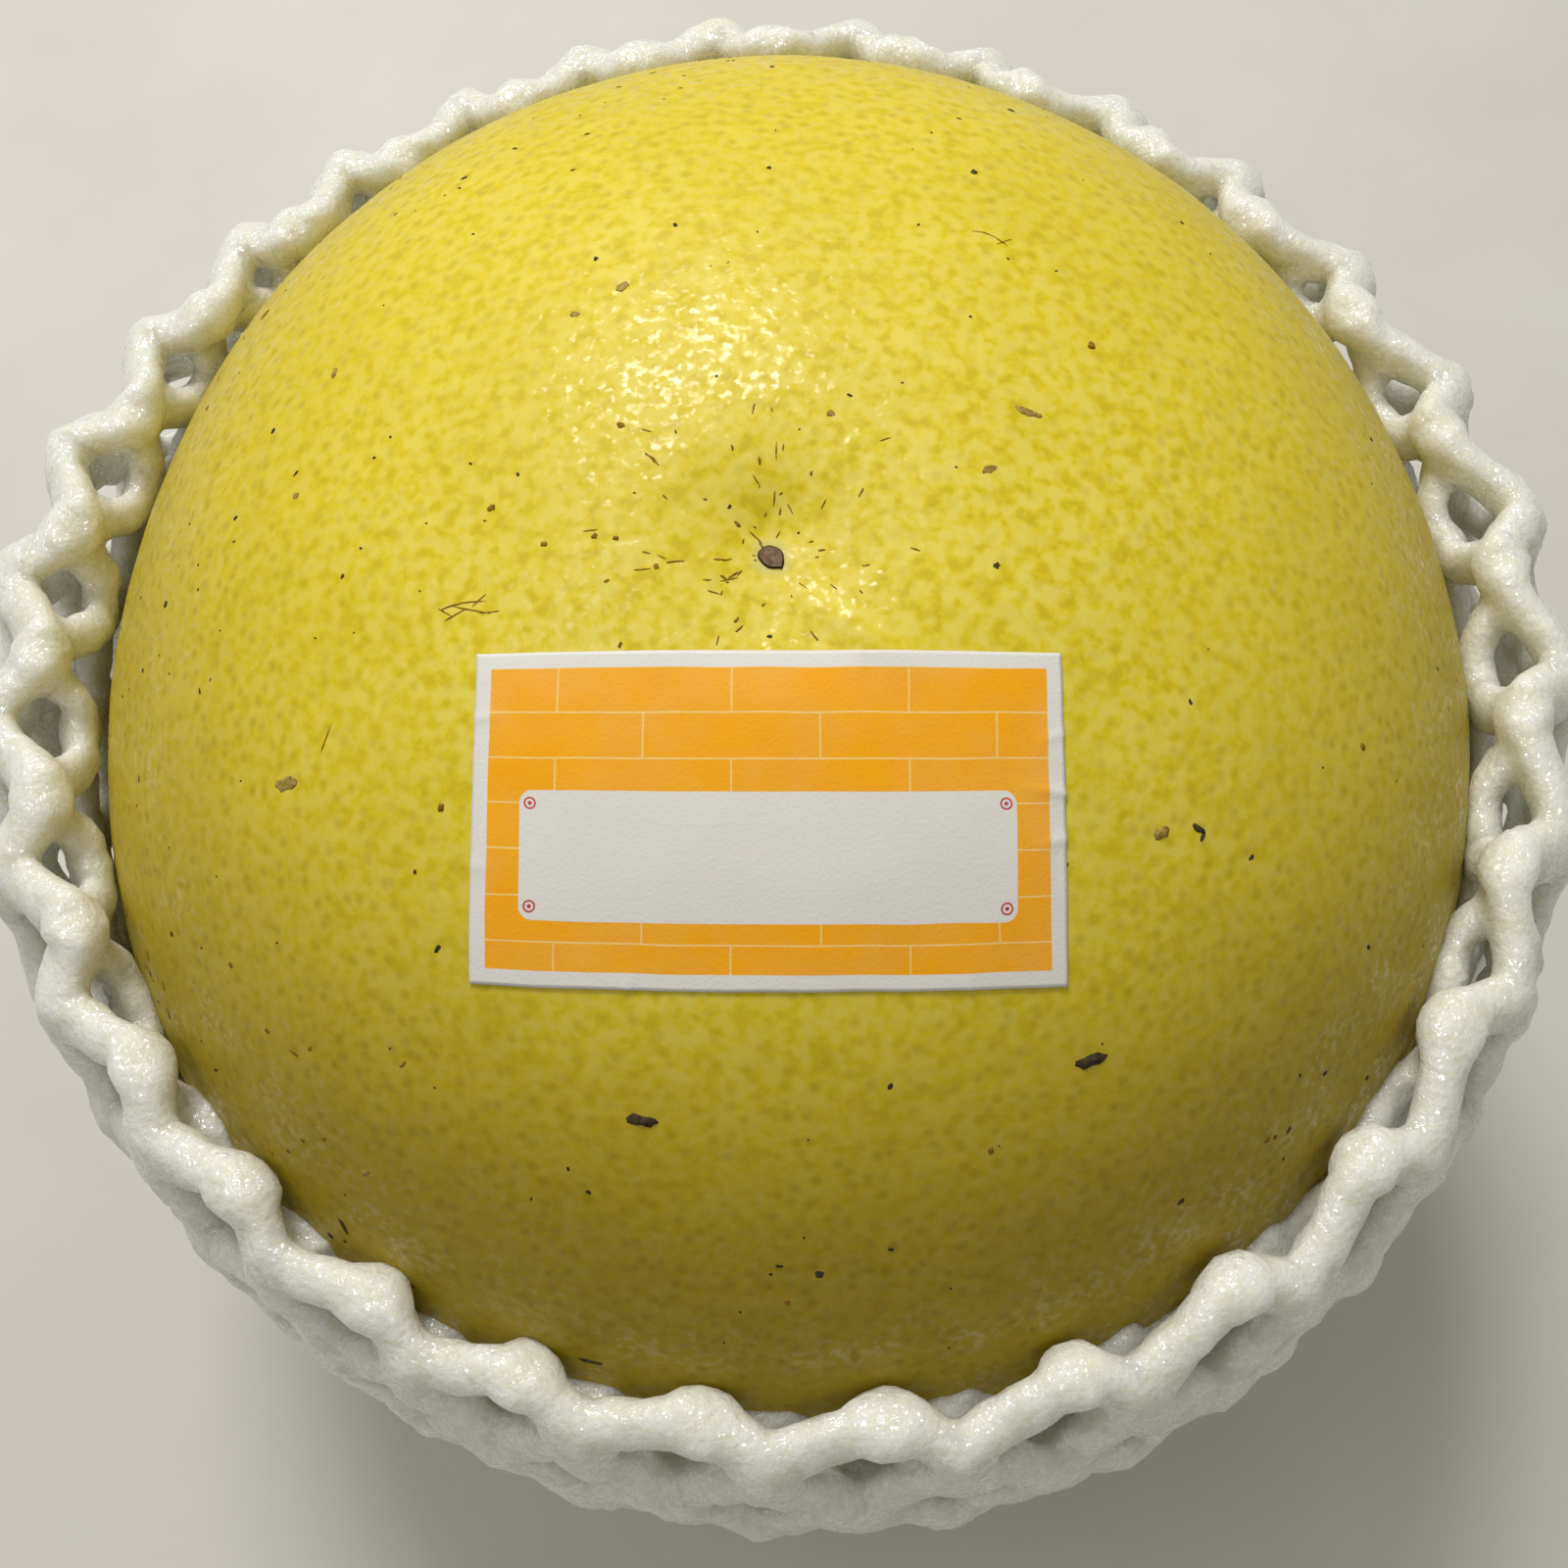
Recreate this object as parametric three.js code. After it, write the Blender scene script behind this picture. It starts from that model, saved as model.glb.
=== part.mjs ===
// A pomelo of the yellow, flattened kind, blossom end up, in a double-layer foam net cap.
// Millimetres, +Z up. The origin is the middle of the flat spot that the net cap stands on.
// Three pieces: the fruit, a paper label on its skin and the foam net that holds it.
import * as THREE from "three";

const { degToRad, smoothstep } = THREE.MathUtils;

// ---- driving dimensions ----
const FRUIT_RADIUS = 65; // half the fruit's width
const FRUIT_HALF_HEIGHT = 57.5;
const FRUIT_ROUNDNESS = 2.08; // exponent of its outline: 2 is an ellipse, more is squarer
const FRUIT_CENTRE_Z = 61.5; // above the surface that the cap stands on
const FRUIT_TILT = degToRad(7.75); // the blossom end leans towards -Y
const FRUIT_SIDES = 40;

const DIMPLE_DEPTH = 1.7; // hollow round the stylar scar
const DIMPLE_RADIUS = 7.5;
const SCAR_RADIUS = 1;
const SCAR_HEIGHT = 0.3;
const BASIN_DEPTH = 3.6; // hollow round the stem end
const BASIN_RADIUS = 11;
const CALYX_RADIUS = 5.5;
const CALYX_HEIGHT = 1.3;
const STUB_RADIUS = 2.2; // the clipped stem
const STUB_HEIGHT = 1.2;

const LABEL_WIDTH = 38;
const LABEL_HEIGHT = 21;
const LABEL_ELEVATION = degToRad(64.4); // of its middle, seen from the fruit's centre
const LABEL_SHIFT = -1.1; // of its middle, along X
const LABEL_THICKNESS = 0.4;
const LABEL_GAP = 0.3; // between the skin and the paper

const CELLS = 30; // diamond cells round the net
const NET_ROWS = 11; // rows of crossings in each layer below the fold
const STRAND_THICKNESS = 2.9; // through the layer
const STRAND_HALF_WIDTH = 1.9;
const CELL_SIDE = 10.9; // one strand from crossing to crossing
const NET_GAP = 0.6; // between the skin and the inner layer
const LAYER_GAP = 0.4; // between the two layers
const PRESSING = 0.2; // share by which the foam is thinner on both sides of the front, and fuller between
const FULL_SIDE = degToRad(-80); // where it is full, about the middle of the front
const CELL_SHIFT = 0.19; // of the first knob round the rim, as a share of a cell
const BUNCHING = 0.33; // how far the cells crowd towards one side, as a share of a cell
const BUNCHING_SIDE = degToRad(60); // where the crowding begins
const CROSSING_BULGE = 0.4; // how far a fused crossing stands out of the outer layer
const CROSSING_REACH = 4.2; // longest fused crossing, from its middle up or down
const RIM_HEIGHT = 27.5; // middle of the fold, above the fruit's centre
const RIM_FLARE = 2.4; // how far the rim stands off the skin
const RIM_LEAN = 0.14; // the fold's knobs lean round the rim, as a share of a cell
const KNOB_HEIGHT = 2.1; // of the fold's knobs above its middle
const FOLD_DEPTH = 1.2; // from the fold's middle down to the gap between the layers
const FOLD_DROP = 1.6; // from the fold's middle down to where the strands part
const GATHER_ANGLES = [-61, -68.5, -75, -82].map(degToRad); // elevations of the gathered bottom's rings
const FOOT_RADIUS = 25; // of the flat spot
const FOOT_NOTCH = 1; // how far the pleats cut into it
const FOLD_SHOULDER = 0.35; // where a strand rounds the fold, as a share of the way to the next crossing
const PLEAT_DEPTH = 1.6; // of the gathered bottom's pleats
const WANDER = 0.5; // how far a crossing strays from its regular place

const FRUIT_CENTRE = new THREE.Vector3(0, 0, FRUIT_CENTRE_Z);
const FRUIT_TURN = new THREE.Quaternion().setFromAxisAngle(new THREE.Vector3(1, 0, 0), FRUIT_TILT);
const FRUIT_TURN_BACK = FRUIT_TURN.clone().invert();
const PITCH = (2 * Math.PI) / CELLS;
const LAYER_MIDDLE = FRUIT_RADIUS + NET_GAP + STRAND_THICKNESS; // between the layers, from the centre

// ---- the fruit's surface, as a distance from its centre ----

// A unit vector in the given direction round the Z axis, at the given angle above the level.
function directionAt(turn, elevation) {
  const level = Math.cos(elevation);
  return new THREE.Vector3(level * Math.cos(turn), level * Math.sin(turn), Math.sin(elevation));
}

// Slight unevenness of the body, as a share of its radius. The direction is in the fruit's own axes.
function unevenness(direction) {
  const turn = Math.atan2(direction.y, direction.x);
  const level = 1 - direction.z * direction.z;
  return level * (0.006 * Math.cos(2 * turn + 0.8) + 0.004 * Math.cos(3 * turn + 2.1));
}

// The body without the hollows at its two ends.
function bodyRadius(direction) {
  const across = Math.hypot(direction.x, direction.y) / FRUIT_RADIUS;
  const along = Math.abs(direction.z) / FRUIT_HALF_HEIGHT;
  const sum = across ** FRUIT_ROUNDNESS + along ** FRUIT_ROUNDNESS;
  return sum ** (-1 / FRUIT_ROUNDNESS) * (1 + unevenness(direction));
}

// 1 inside the radius and 0 outside it, with a soft edge.
function disc(distance, radius) {
  const halfEdge = 0.4;
  return 1 - smoothstep(distance, radius - halfEdge, radius + halfEdge);
}

// A round hollow that fades out with the distance from its middle.
function hollow(distance, depth, radius) {
  return depth * Math.exp(-((distance / radius) ** 2));
}

// The skin itself: the dimple and scar at the blossom end, the basin, calyx and stem stub at the other.
function skinRadius(direction) {
  const reach = Math.acos(Math.min(1, Math.abs(direction.z))) * FRUIT_HALF_HEIGHT;
  if (direction.z > 0)
    return bodyRadius(direction) - hollow(reach, DIMPLE_DEPTH, DIMPLE_RADIUS)
      + SCAR_HEIGHT * disc(reach, SCAR_RADIUS);
  return bodyRadius(direction) - hollow(reach, BASIN_DEPTH, BASIN_RADIUS)
    + CALYX_HEIGHT * disc(reach, CALYX_RADIUS)
    + STUB_HEIGHT * disc(reach, STUB_RADIUS);
}

// The point at a distance above the body's surface, where the direction is in the part's axes.
function overFruit(direction, distance) {
  const own = direction.clone().applyQuaternion(FRUIT_TURN_BACK);
  return direction.clone().multiplyScalar(bodyRadius(own) + distance).add(FRUIT_CENTRE);
}

// ---- geometry helpers ----

function geometryFrom(points, index) {
  const geometry = new THREE.BufferGeometry().setFromPoints(points);
  geometry.setIndex(index);
  geometry.computeVertexNormals();
  return geometry;
}

function mesh(name, geometry, colour, roughness) {
  const material = new THREE.MeshStandardMaterial({ color: colour, roughness, metalness: 0 });
  const made = new THREE.Mesh(geometry, material);
  made.name = name;
  return made;
}

// ---- the fruit ----

// Elevations of the fruit's rings in its own axes, from the scar down: close together at both ends.
function fruitElevations() {
  const scarReaches = [0.6, 1.4, 3.5, 7, 11, 16];
  const stemReaches = [18, 13, 9, 5.9, 5.1, 2.6, 1.8];
  const evenRings = 16;
  const quarter = Math.PI / 2;
  const upper = scarReaches.map((reach) => quarter - reach / FRUIT_HALF_HEIGHT);
  const lower = stemReaches.map((reach) => reach / FRUIT_HALF_HEIGHT - quarter);
  const step = (upper.at(-1) - lower[0]) / (evenRings + 1);
  const even = Array.from({ length: evenRings }, (_, i) => upper.at(-1) - step * (i + 1));
  return [...upper, ...even, ...lower];
}

function skinPoint(turn, elevation) {
  const direction = directionAt(turn, elevation);
  return direction.multiplyScalar(skinRadius(direction)).applyQuaternion(FRUIT_TURN).add(FRUIT_CENTRE);
}

function fruitGeometry() {
  const elevations = fruitElevations();
  const last = elevations.length - 1;
  const points = [skinPoint(0, Math.PI / 2), skinPoint(0, -Math.PI / 2)];
  for (const elevation of elevations)
    for (let i = 0; i < FRUIT_SIDES; i += 1) points.push(skinPoint((2 * Math.PI * i) / FRUIT_SIDES, elevation));
  const at = (ring, i) => 2 + ring * FRUIT_SIDES + (i % FRUIT_SIDES);
  const index = [];
  for (let i = 0; i < FRUIT_SIDES; i += 1) {
    index.push(0, at(0, i), at(0, i + 1), 1, at(last, i + 1), at(last, i));
    for (let ring = 0; ring < last; ring += 1) {
      index.push(at(ring, i), at(ring + 1, i), at(ring + 1, i + 1));
      index.push(at(ring, i), at(ring + 1, i + 1), at(ring, i + 1));
    }
  }
  return geometryFrom(points, index);
}

// ---- the label ----

// A point of the label: across and up are measured along the paper from its middle.
function labelPoint(across, up, lift) {
  const turn = (LABEL_SHIFT + across) / FRUIT_HALF_HEIGHT;
  const elevation = LABEL_ELEVATION + up / FRUIT_HALF_HEIGHT;
  const upright = new THREE.Vector3(0, -Math.cos(elevation), Math.sin(elevation));
  const direction = upright.multiplyScalar(Math.cos(turn)).setX(Math.sin(turn));
  return overFruit(direction, lift);
}

function labelGeometry() {
  const columns = 12;
  const rows = 7;
  const points = [];
  for (const lift of [LABEL_GAP, LABEL_GAP + LABEL_THICKNESS])
    for (let row = 0; row <= rows; row += 1)
      for (let column = 0; column <= columns; column += 1) {
        const across = LABEL_WIDTH * (column / columns - 0.5);
        points.push(labelPoint(across, LABEL_HEIGHT * (row / rows - 0.5), lift));
      }
  const at = (row, column) => row * (columns + 1) + column;
  const face = (rows + 1) * (columns + 1); // from a point of the back to the same one of the front
  const index = [];
  for (let row = 0; row < rows; row += 1)
    for (let column = 0; column < columns; column += 1) {
      const [a, b] = [at(row, column), at(row, column + 1)];
      const [c, d] = [at(row + 1, column + 1), at(row + 1, column)];
      index.push(a + face, b + face, c + face, a + face, c + face, d + face);
      index.push(a, c, b, a, d, c);
    }
  const rim = [];
  for (let column = 0; column < columns; column += 1) rim.push(at(0, column));
  for (let row = 0; row < rows; row += 1) rim.push(at(row, columns));
  for (let column = columns; column > 0; column -= 1) rim.push(at(rows, column));
  for (let row = rows; row > 0; row -= 1) rim.push(at(row, 0));
  rim.forEach((low, i) => {
    const next = rim[(i + 1) % rim.length];
    index.push(low, next, next + face, low, next + face, low + face);
  });
  return geometryFrom(points, index);
}

// ---- the foam net ----
// One tube of diamond cells, folded over at the rim. Row 0 of the crossings is the fold, and rows 1 to NET_ROWS
// run down both layers. Each crossing has a top on the face that shows, a back on the face towards the
// other layer, and a corner in each of the holes round it, which its strands share.

// A repeatable scatter from -1 to 1 for crossing i of a row.
function scatter(i, row, kind) {
  const wave = Math.sin(i * 12.9898 + row * 78.233 + kind * 37.719) * 43758.5453;
  return 2 * (wave - Math.floor(wave)) - 1;
}

// Half the width and half the height of a cell. Strands keep their length, so a narrow cell is tall.
function halfCell(elevation) {
  const width = (LAYER_MIDDLE * Math.cos(elevation) * PITCH) / 2;
  return { width, height: Math.sqrt(CELL_SIDE ** 2 - width ** 2) };
}

function rowElevations() {
  const rows = [Math.asin(RIM_HEIGHT / LAYER_MIDDLE)];
  while (rows.length <= NET_ROWS) rows.push(rows.at(-1) - halfCell(rows.at(-1)).height / LAYER_MIDDLE);
  return rows;
}

const ROWS = rowElevations();

// The angle round the Z axis of a place counted in cells.
function cellTurn(cell) {
  return PITCH * (cell + CELL_SHIFT + BUNCHING * Math.cos(PITCH * cell - BUNCHING_SIDE));
}

// A point of the net at a distance above the skin, which grows and shrinks with how full the foam is there.
function overSkin(direction, distance) {
  const turn = Math.atan2(direction.y, direction.x);
  const front = ((1 - direction.z * direction.z) * (1 - Math.sin(turn))) / 2;
  return overFruit(direction, distance * (1 + PRESSING * front * Math.cos(3 * (turn - FULL_SIDE))));
}

function rimFlare(elevation) {
  return RIM_FLARE * smoothstep(LAYER_MIDDLE * Math.sin(elevation), 0, RIM_HEIGHT);
}

// Distances above the skin of a layer's showing face, its middle and its back.
const OUTER = { back: NET_GAP + STRAND_THICKNESS + LAYER_GAP };
OUTER.middle = OUTER.back + STRAND_THICKNESS / 2;
OUTER.top = OUTER.back + STRAND_THICKNESS;
const INNER = { top: NET_GAP, middle: NET_GAP + STRAND_THICKNESS / 2, back: NET_GAP + STRAND_THICKNESS };

// Where crossing i of a row is, and how far its fused middle reaches along the strands.
function crossingPlace(i, row) {
  const level = LAYER_MIDDLE * Math.cos(ROWS[row]);
  const cell = halfCell(ROWS[row]);
  const lean = row === 0 ? RIM_LEAN : 0;
  return {
    level,
    turn: cellTurn(i + (row % 2) / 2 + lean) + (WANDER * scatter(i, row, 1)) / level,
    elevation: ROWS[row] + (WANDER * scatter(i, row, 2)) / LAYER_MIDDLE,
    side: (STRAND_HALF_WIDTH * CELL_SIDE) / cell.height,
    end: Math.min(CROSSING_REACH, (STRAND_HALF_WIDTH * CELL_SIDE) / cell.width),
  };
}

function layerCrossing(i, row, layer) {
  const { level, turn, elevation, side, end } = crossingPlace(i, row);
  const place = (across, along, distance) => {
    const tilt = elevation + along / LAYER_MIDDLE;
    return overSkin(directionAt(turn + across / level, tilt), distance + rimFlare(tilt));
  };
  return {
    top: place(0, 0, layer.top + (layer === OUTER ? CROSSING_BULGE : 0)),
    back: place(0, 0, layer.back),
    left: place(-side, 0, layer.middle),
    right: place(side, 0, layer.middle),
    up: place(0, end, layer.middle),
    down: place(0, -end, layer.middle),
  };
}

// A knob of the fold, which belongs to both layers and has a lower corner in each.
function foldCrossing(i) {
  const { level, turn, elevation, side } = crossingPlace(i, 0);
  const distance = (OUTER.back + INNER.back) / 2 + rimFlare(elevation);
  const upSkin = directionAt(turn, elevation + Math.PI / 2);
  const place = (across, out, rise) =>
    overSkin(directionAt(turn + across / level, elevation), distance + out).addScaledVector(upSkin, rise);
  const apart = (OUTER.middle - INNER.middle) / 2;
  return {
    top: place(0, 0, KNOB_HEIGHT),
    back: place(0, 0, -FOLD_DEPTH),
    left: place(-side, 0, 0),
    right: place(side, 0, 0),
    outerDown: place(0, apart, -FOLD_DROP),
    innerDown: place(0, -apart, -FOLD_DROP),
  };
}

// Collects the net's points and faces. Each point is added once, when it is first used.
class NetBuilder {
  points = [];
  index = [];
  numbers = new Map();

  number(point) {
    if (!this.numbers.has(point)) this.numbers.set(point, this.points.push(point) - 1);
    return this.numbers.get(point);
  }

  // A fan of triangles over the corners, turned round if asked.
  face(corners, turned = false) {
    const list = turned ? [...corners].reverse() : corners;
    for (let i = 1; i < list.length - 1; i += 1)
      this.index.push(this.number(list[0]), this.number(list[i]), this.number(list[i + 1]));
  }

  // The strand from an upper crossing to a lower one. Its two faces on each side meet along a ridge, and
  // the ridge that shows may run over a shoulder.
  strand(upper, lower, towards, inside, shoulder = []) {
    const [high, low] = towards > 0 ? [upper.right, lower.left] : [upper.left, lower.right];
    for (const side of ["top", "back"]) {
      const turned = inside !== (side === "back") !== towards < 0;
      const between = side === "top" ? shoulder : [];
      this.face([...between, lower[side], lower.up, high, upper[side]], turned);
      this.face([...between, upper[side], upper.down, low, lower[side]], turned);
    }
  }
}

// One layer's rows of crossings, the fold first.
function layerRows(layer, fold) {
  const down = layer === OUTER ? "outerDown" : "innerDown";
  const rows = [fold.map((knob) => ({ ...knob, down: knob[down] }))];
  for (let row = 1; row <= NET_ROWS; row += 1)
    rows.push(Array.from({ length: CELLS }, (_, i) => layerCrossing(i, row, layer)));
  return rows;
}

// The point where the strand from knob i rounds the fold, on the side that shows.
function foldShoulder(i, towards, layer) {
  const elevation = ROWS[0] + FOLD_SHOULDER * (ROWS[1] - ROWS[0]);
  const turn = cellTurn(i + RIM_LEAN + FOLD_SHOULDER * (towards / 2 - RIM_LEAN));
  return overSkin(directionAt(turn, elevation), layer.top + rimFlare(elevation));
}

function addStrands(net, rows, layer) {
  for (let row = 0; row < NET_ROWS; row += 1)
    for (let i = 0; i < CELLS; i += 1)
      for (const towards of [1, -1]) {
        const below = (i + (row % 2) + CELLS + (towards - 1) / 2) % CELLS;
        const shoulder = row === 0 ? [foldShoulder(i, towards, layer)] : [];
        net.strand(rows[row][i], rows[row + 1][below], towards, layer === INNER, shoulder);
      }
}

// A ring of the gathered bottom: a ridge below each last crossing and a pleat between two.
function gatherRing(elevation, layer) {
  const first = (NET_ROWS % 2) / 2;
  return Array.from({ length: 2 * CELLS }, (_, i) => {
    const pleat = layer === OUTER ? (i % 2) * PLEAT_DEPTH : 0;
    return overSkin(directionAt(cellTurn(first + i / 2), elevation), layer.top - pleat);
  });
}

// The edge of the flat spot, where the outer layer is pressed against what it stands on.
function footRing() {
  const first = (NET_ROWS % 2) / 2;
  return Array.from({ length: 2 * CELLS }, (_, i) => {
    const radius = FOOT_RADIUS - (i % 2) * FOOT_NOTCH;
    return directionAt(cellTurn(first + i / 2), 0).multiplyScalar(radius);
  });
}

// The showing face of a layer's gathered bottom, from the last crossings to the middle.
function addGather(net, lastRow, layer) {
  const inside = layer === INNER;
  const rings = inside
    ? GATHER_ANGLES.map((elevation) => gatherRing(elevation, layer))
    : [gatherRing(GATHER_ANGLES[0], layer), footRing()];
  const count = 2 * CELLS;
  lastRow.forEach((crossing, i) => {
    const next = lastRow[(i + 1) % CELLS];
    const [ridge, pleat, nextRidge] = [0, 1, 2].map((step) => rings[0][(2 * i + step) % count]);
    net.face([crossing.top, crossing.left, ridge], inside);
    net.face([crossing.top, ridge, crossing.right], inside);
    net.face([crossing.right, ridge, pleat], inside);
    net.face([crossing.right, pleat, next.left], inside);
    net.face([next.left, pleat, nextRidge], inside);
  });
  const middle = inside ? overSkin(new THREE.Vector3(0, 0, -1), layer.top) : new THREE.Vector3();
  rings.forEach((ring, level) => {
    for (let i = 0; i < count; i += 1) {
      const j = (i + 1) % count;
      const below = rings[level + 1];
      net.face(below ? [ring[i], below[i], below[j], ring[j]] : [ring[i], middle, ring[j]], inside);
    }
  });
}

// The bottom of the gap between the two layers, where they are pressed together.
function addGapFloor(net, outerRow, innerRow) {
  outerRow.forEach((outer, i) => {
    const inner = innerRow[i];
    const j = (i + 1) % CELLS;
    net.face([outer.left, outer.back, inner.back, inner.left]);
    net.face([outer.back, outer.right, inner.right, inner.back]);
    net.face([outer.right, outerRow[j].left, innerRow[j].left, inner.right]);
  });
}

function netGeometry() {
  const net = new NetBuilder();
  const fold = Array.from({ length: CELLS }, (_, i) => foldCrossing(i));
  const outer = layerRows(OUTER, fold);
  const inner = layerRows(INNER, fold);
  addStrands(net, outer, OUTER);
  addStrands(net, inner, INNER);
  addGather(net, outer[NET_ROWS], OUTER);
  addGather(net, inner[NET_ROWS], INNER);
  addGapFloor(net, outer[NET_ROWS], inner[NET_ROWS]);
  return geometryFrom(net.points, net.index);
}

// ---- the assembly ----
const pomelo = new THREE.Group();
pomelo.name = "pomelo";
pomelo.add(mesh("fruit", fruitGeometry(), "#cdbb35", 0.42));
pomelo.add(mesh("label", labelGeometry(), "#f0eee8", 0.5));
pomelo.add(mesh("foam_net", netGeometry(), "#e9e7dd", 0.45));

export default pomelo;
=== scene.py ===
"""A pomelo, blossom end up, with a paper label on its skin, seated in a double-layer foam net cap.

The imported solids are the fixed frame. Each of them is replaced by a finer piece of the same form: the fruit
with its oil glands and marks, the creased label and the folded net of round, fused foam strands. Sizes are
in millimetres in the classes below and become metres when a mesh is made. +Z is up and the label is on -Y.
"""

from __future__ import annotations

import logging
import math
from collections.abc import Callable, Sequence
from dataclasses import dataclass, field, replace
from enum import Enum

import bpy
import numpy as np
from mathutils import Matrix, Vector
from mathutils.kdtree import KDTree


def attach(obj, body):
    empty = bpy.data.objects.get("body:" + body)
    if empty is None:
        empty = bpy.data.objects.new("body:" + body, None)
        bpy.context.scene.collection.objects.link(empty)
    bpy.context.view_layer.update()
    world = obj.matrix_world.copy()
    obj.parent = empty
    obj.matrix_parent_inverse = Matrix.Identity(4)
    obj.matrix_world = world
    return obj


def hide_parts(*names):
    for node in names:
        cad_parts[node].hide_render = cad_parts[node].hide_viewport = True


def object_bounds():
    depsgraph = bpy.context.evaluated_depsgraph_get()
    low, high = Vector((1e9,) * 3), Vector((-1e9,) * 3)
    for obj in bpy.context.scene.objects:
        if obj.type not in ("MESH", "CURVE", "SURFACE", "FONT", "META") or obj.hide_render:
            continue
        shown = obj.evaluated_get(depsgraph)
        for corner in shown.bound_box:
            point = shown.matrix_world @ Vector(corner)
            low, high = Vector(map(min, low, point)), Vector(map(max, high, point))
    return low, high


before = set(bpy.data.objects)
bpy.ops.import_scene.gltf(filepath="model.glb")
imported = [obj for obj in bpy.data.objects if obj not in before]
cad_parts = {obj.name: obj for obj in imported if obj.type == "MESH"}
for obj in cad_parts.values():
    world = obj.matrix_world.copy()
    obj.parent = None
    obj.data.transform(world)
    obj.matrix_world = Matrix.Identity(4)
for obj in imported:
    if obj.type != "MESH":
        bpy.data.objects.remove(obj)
CAD_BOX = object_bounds()

LOG = logging.getLogger("pomelo")
MM = 0.001
BODY = "root"

Colour = tuple[float, float, float, float]
Socket = bpy.types.NodeSocket


class Slot(Enum):
    """The record's material slots."""

    PEEL = "peel"
    PAPER = "paper"
    FOAM = "foam"


# --- Small helpers --------------------


def paint(red: int, green: int, blue: int) -> Colour:
    """A screen colour as a linear one.

    Args:
        red: Red, from 0 to 255.
        green: Green, from 0 to 255.
        blue: Blue, from 0 to 255.

    Returns:
        The linear colour, with alpha 1.
    """

    def linear(value: int) -> float:
        """One channel made linear."""
        share = value / 255
        return share / 12.92 if share <= 0.04045 else ((share + 0.055) / 1.055) ** 2.4

    return linear(red), linear(green), linear(blue), 1.0


def smoothstep(values: np.ndarray, low: float, high: float) -> np.ndarray:
    """Values eased from 0 at low to 1 at high."""
    share = np.clip((values - low) / (high - low), 0.0, 1.0)
    return share * share * (3.0 - 2.0 * share)


def directions(turn: np.ndarray, elevation: np.ndarray) -> np.ndarray:
    """Unit vectors, one row each, for angles round the Z axis and above the level, in radians."""
    level = np.cos(elevation)
    return np.stack([level * np.cos(turn), level * np.sin(turn), np.sin(elevation)], axis=-1)


def turns(count: int) -> np.ndarray:
    """Angles evenly round a full turn, in radians."""
    return np.arange(count) * 2 * math.pi / count


def unit(vectors: np.ndarray) -> np.ndarray:
    """The vectors at length 1."""
    return vectors / np.linalg.norm(vectors, axis=-1, keepdims=True)


def smooth_noise(points: np.ndarray, size: float, seed: int) -> np.ndarray:
    """Smooth random values over space, the same on every run.

    Args:
        points: Places, one row each.
        size: Width of one lump, in the unit of the places.
        seed: Number of the pattern.

    Returns:
        One value from -1 to 1 for each place.
    """
    scaled = points / size
    corner = np.floor(scaled).astype(np.int64)
    inside = scaled - corner
    ease = inside * inside * (3.0 - 2.0 * inside)
    total = np.zeros(len(points))
    for x in (0, 1):
        for y in (0, 1):
            for z in (0, 1):
                cell = corner + (x, y, z)
                code = cell @ np.array([374761393, 668265263, 1440662683]) + seed * 1274126177
                code = (code ^ (code >> 13)) * 1103515245
                code = (code ^ (code >> 16)) & 0xFFFFFF
                weight = np.prod(np.where((x, y, z), ease, 1.0 - ease), axis=-1)
                total += weight * (code / 0x7FFFFF - 1.0)
    return total


def ripple(turn: np.ndarray, *waves: tuple[float, int, float]) -> np.ndarray:
    """A sum of waves round a turn, each given by its height, how often it comes and its phase."""
    return sum(height * np.cos(times * turn + phase) for height, times, phase in waves)


def lumpy(points: np.ndarray, *lumps: tuple[float, float, int]) -> np.ndarray:
    """A sum of smooth noises, each given by its height, the width of one lump and its pattern's number."""
    return sum(height * smooth_noise(points, size, seed) for height, size, seed in lumps)


def make_object(name: str, points: np.ndarray, faces: Sequence[Sequence[int]]) -> bpy.types.Object:
    """Makes a smooth-shaded mesh object from points in millimetres.

    Args:
        name: The piece's name.
        points: Vertices in millimetres.
        faces: Vertex numbers of each face, turning outwards.

    Returns:
        The new object, linked to the scene.
    """
    mesh = bpy.data.meshes.new(name)
    mesh.from_pydata((np.asarray(points) * MM).tolist(), [], list(faces))
    mesh.polygons.foreach_set("use_smooth", [True] * len(mesh.polygons))
    mesh.update()
    made = bpy.data.objects.new(name, mesh)
    bpy.context.scene.collection.objects.link(made)
    return made


def ring_faces(
    rings: int, sides: int, ends: tuple[int, ...] = (), turned: bool = False, closed: bool = False,
) -> list[tuple[int, ...]]:
    """Faces of a body whose points stand in rings of equal count.

    Args:
        rings: Number of rings.
        sides: Points in a ring.
        ends: Numbers of the two points that close the first and the last ring, or none.
        turned: Whether the faces turn the other way.
        closed: Whether the last ring joins the first.

    Returns:
        Vertex numbers of each face.
    """
    made: list[tuple[int, ...]] = []
    last = (rings - 1) * sides
    for k in range(sides):
        after = (k + 1) % sides
        for ring in range(rings if closed else rings - 1):
            low, high = ring * sides, (ring + 1) % rings * sides
            across = (low + k, high + k, high + after, low + after)
            made.append(across if turned else (low + k, low + after, high + after, high + k))
        if ends:
            made.append((k, after, ends[0]) if turned else (after, k, ends[0]))
            made.append((last + after, last + k, ends[1]) if turned else (last + k, last + after, ends[1]))
    return made


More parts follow.
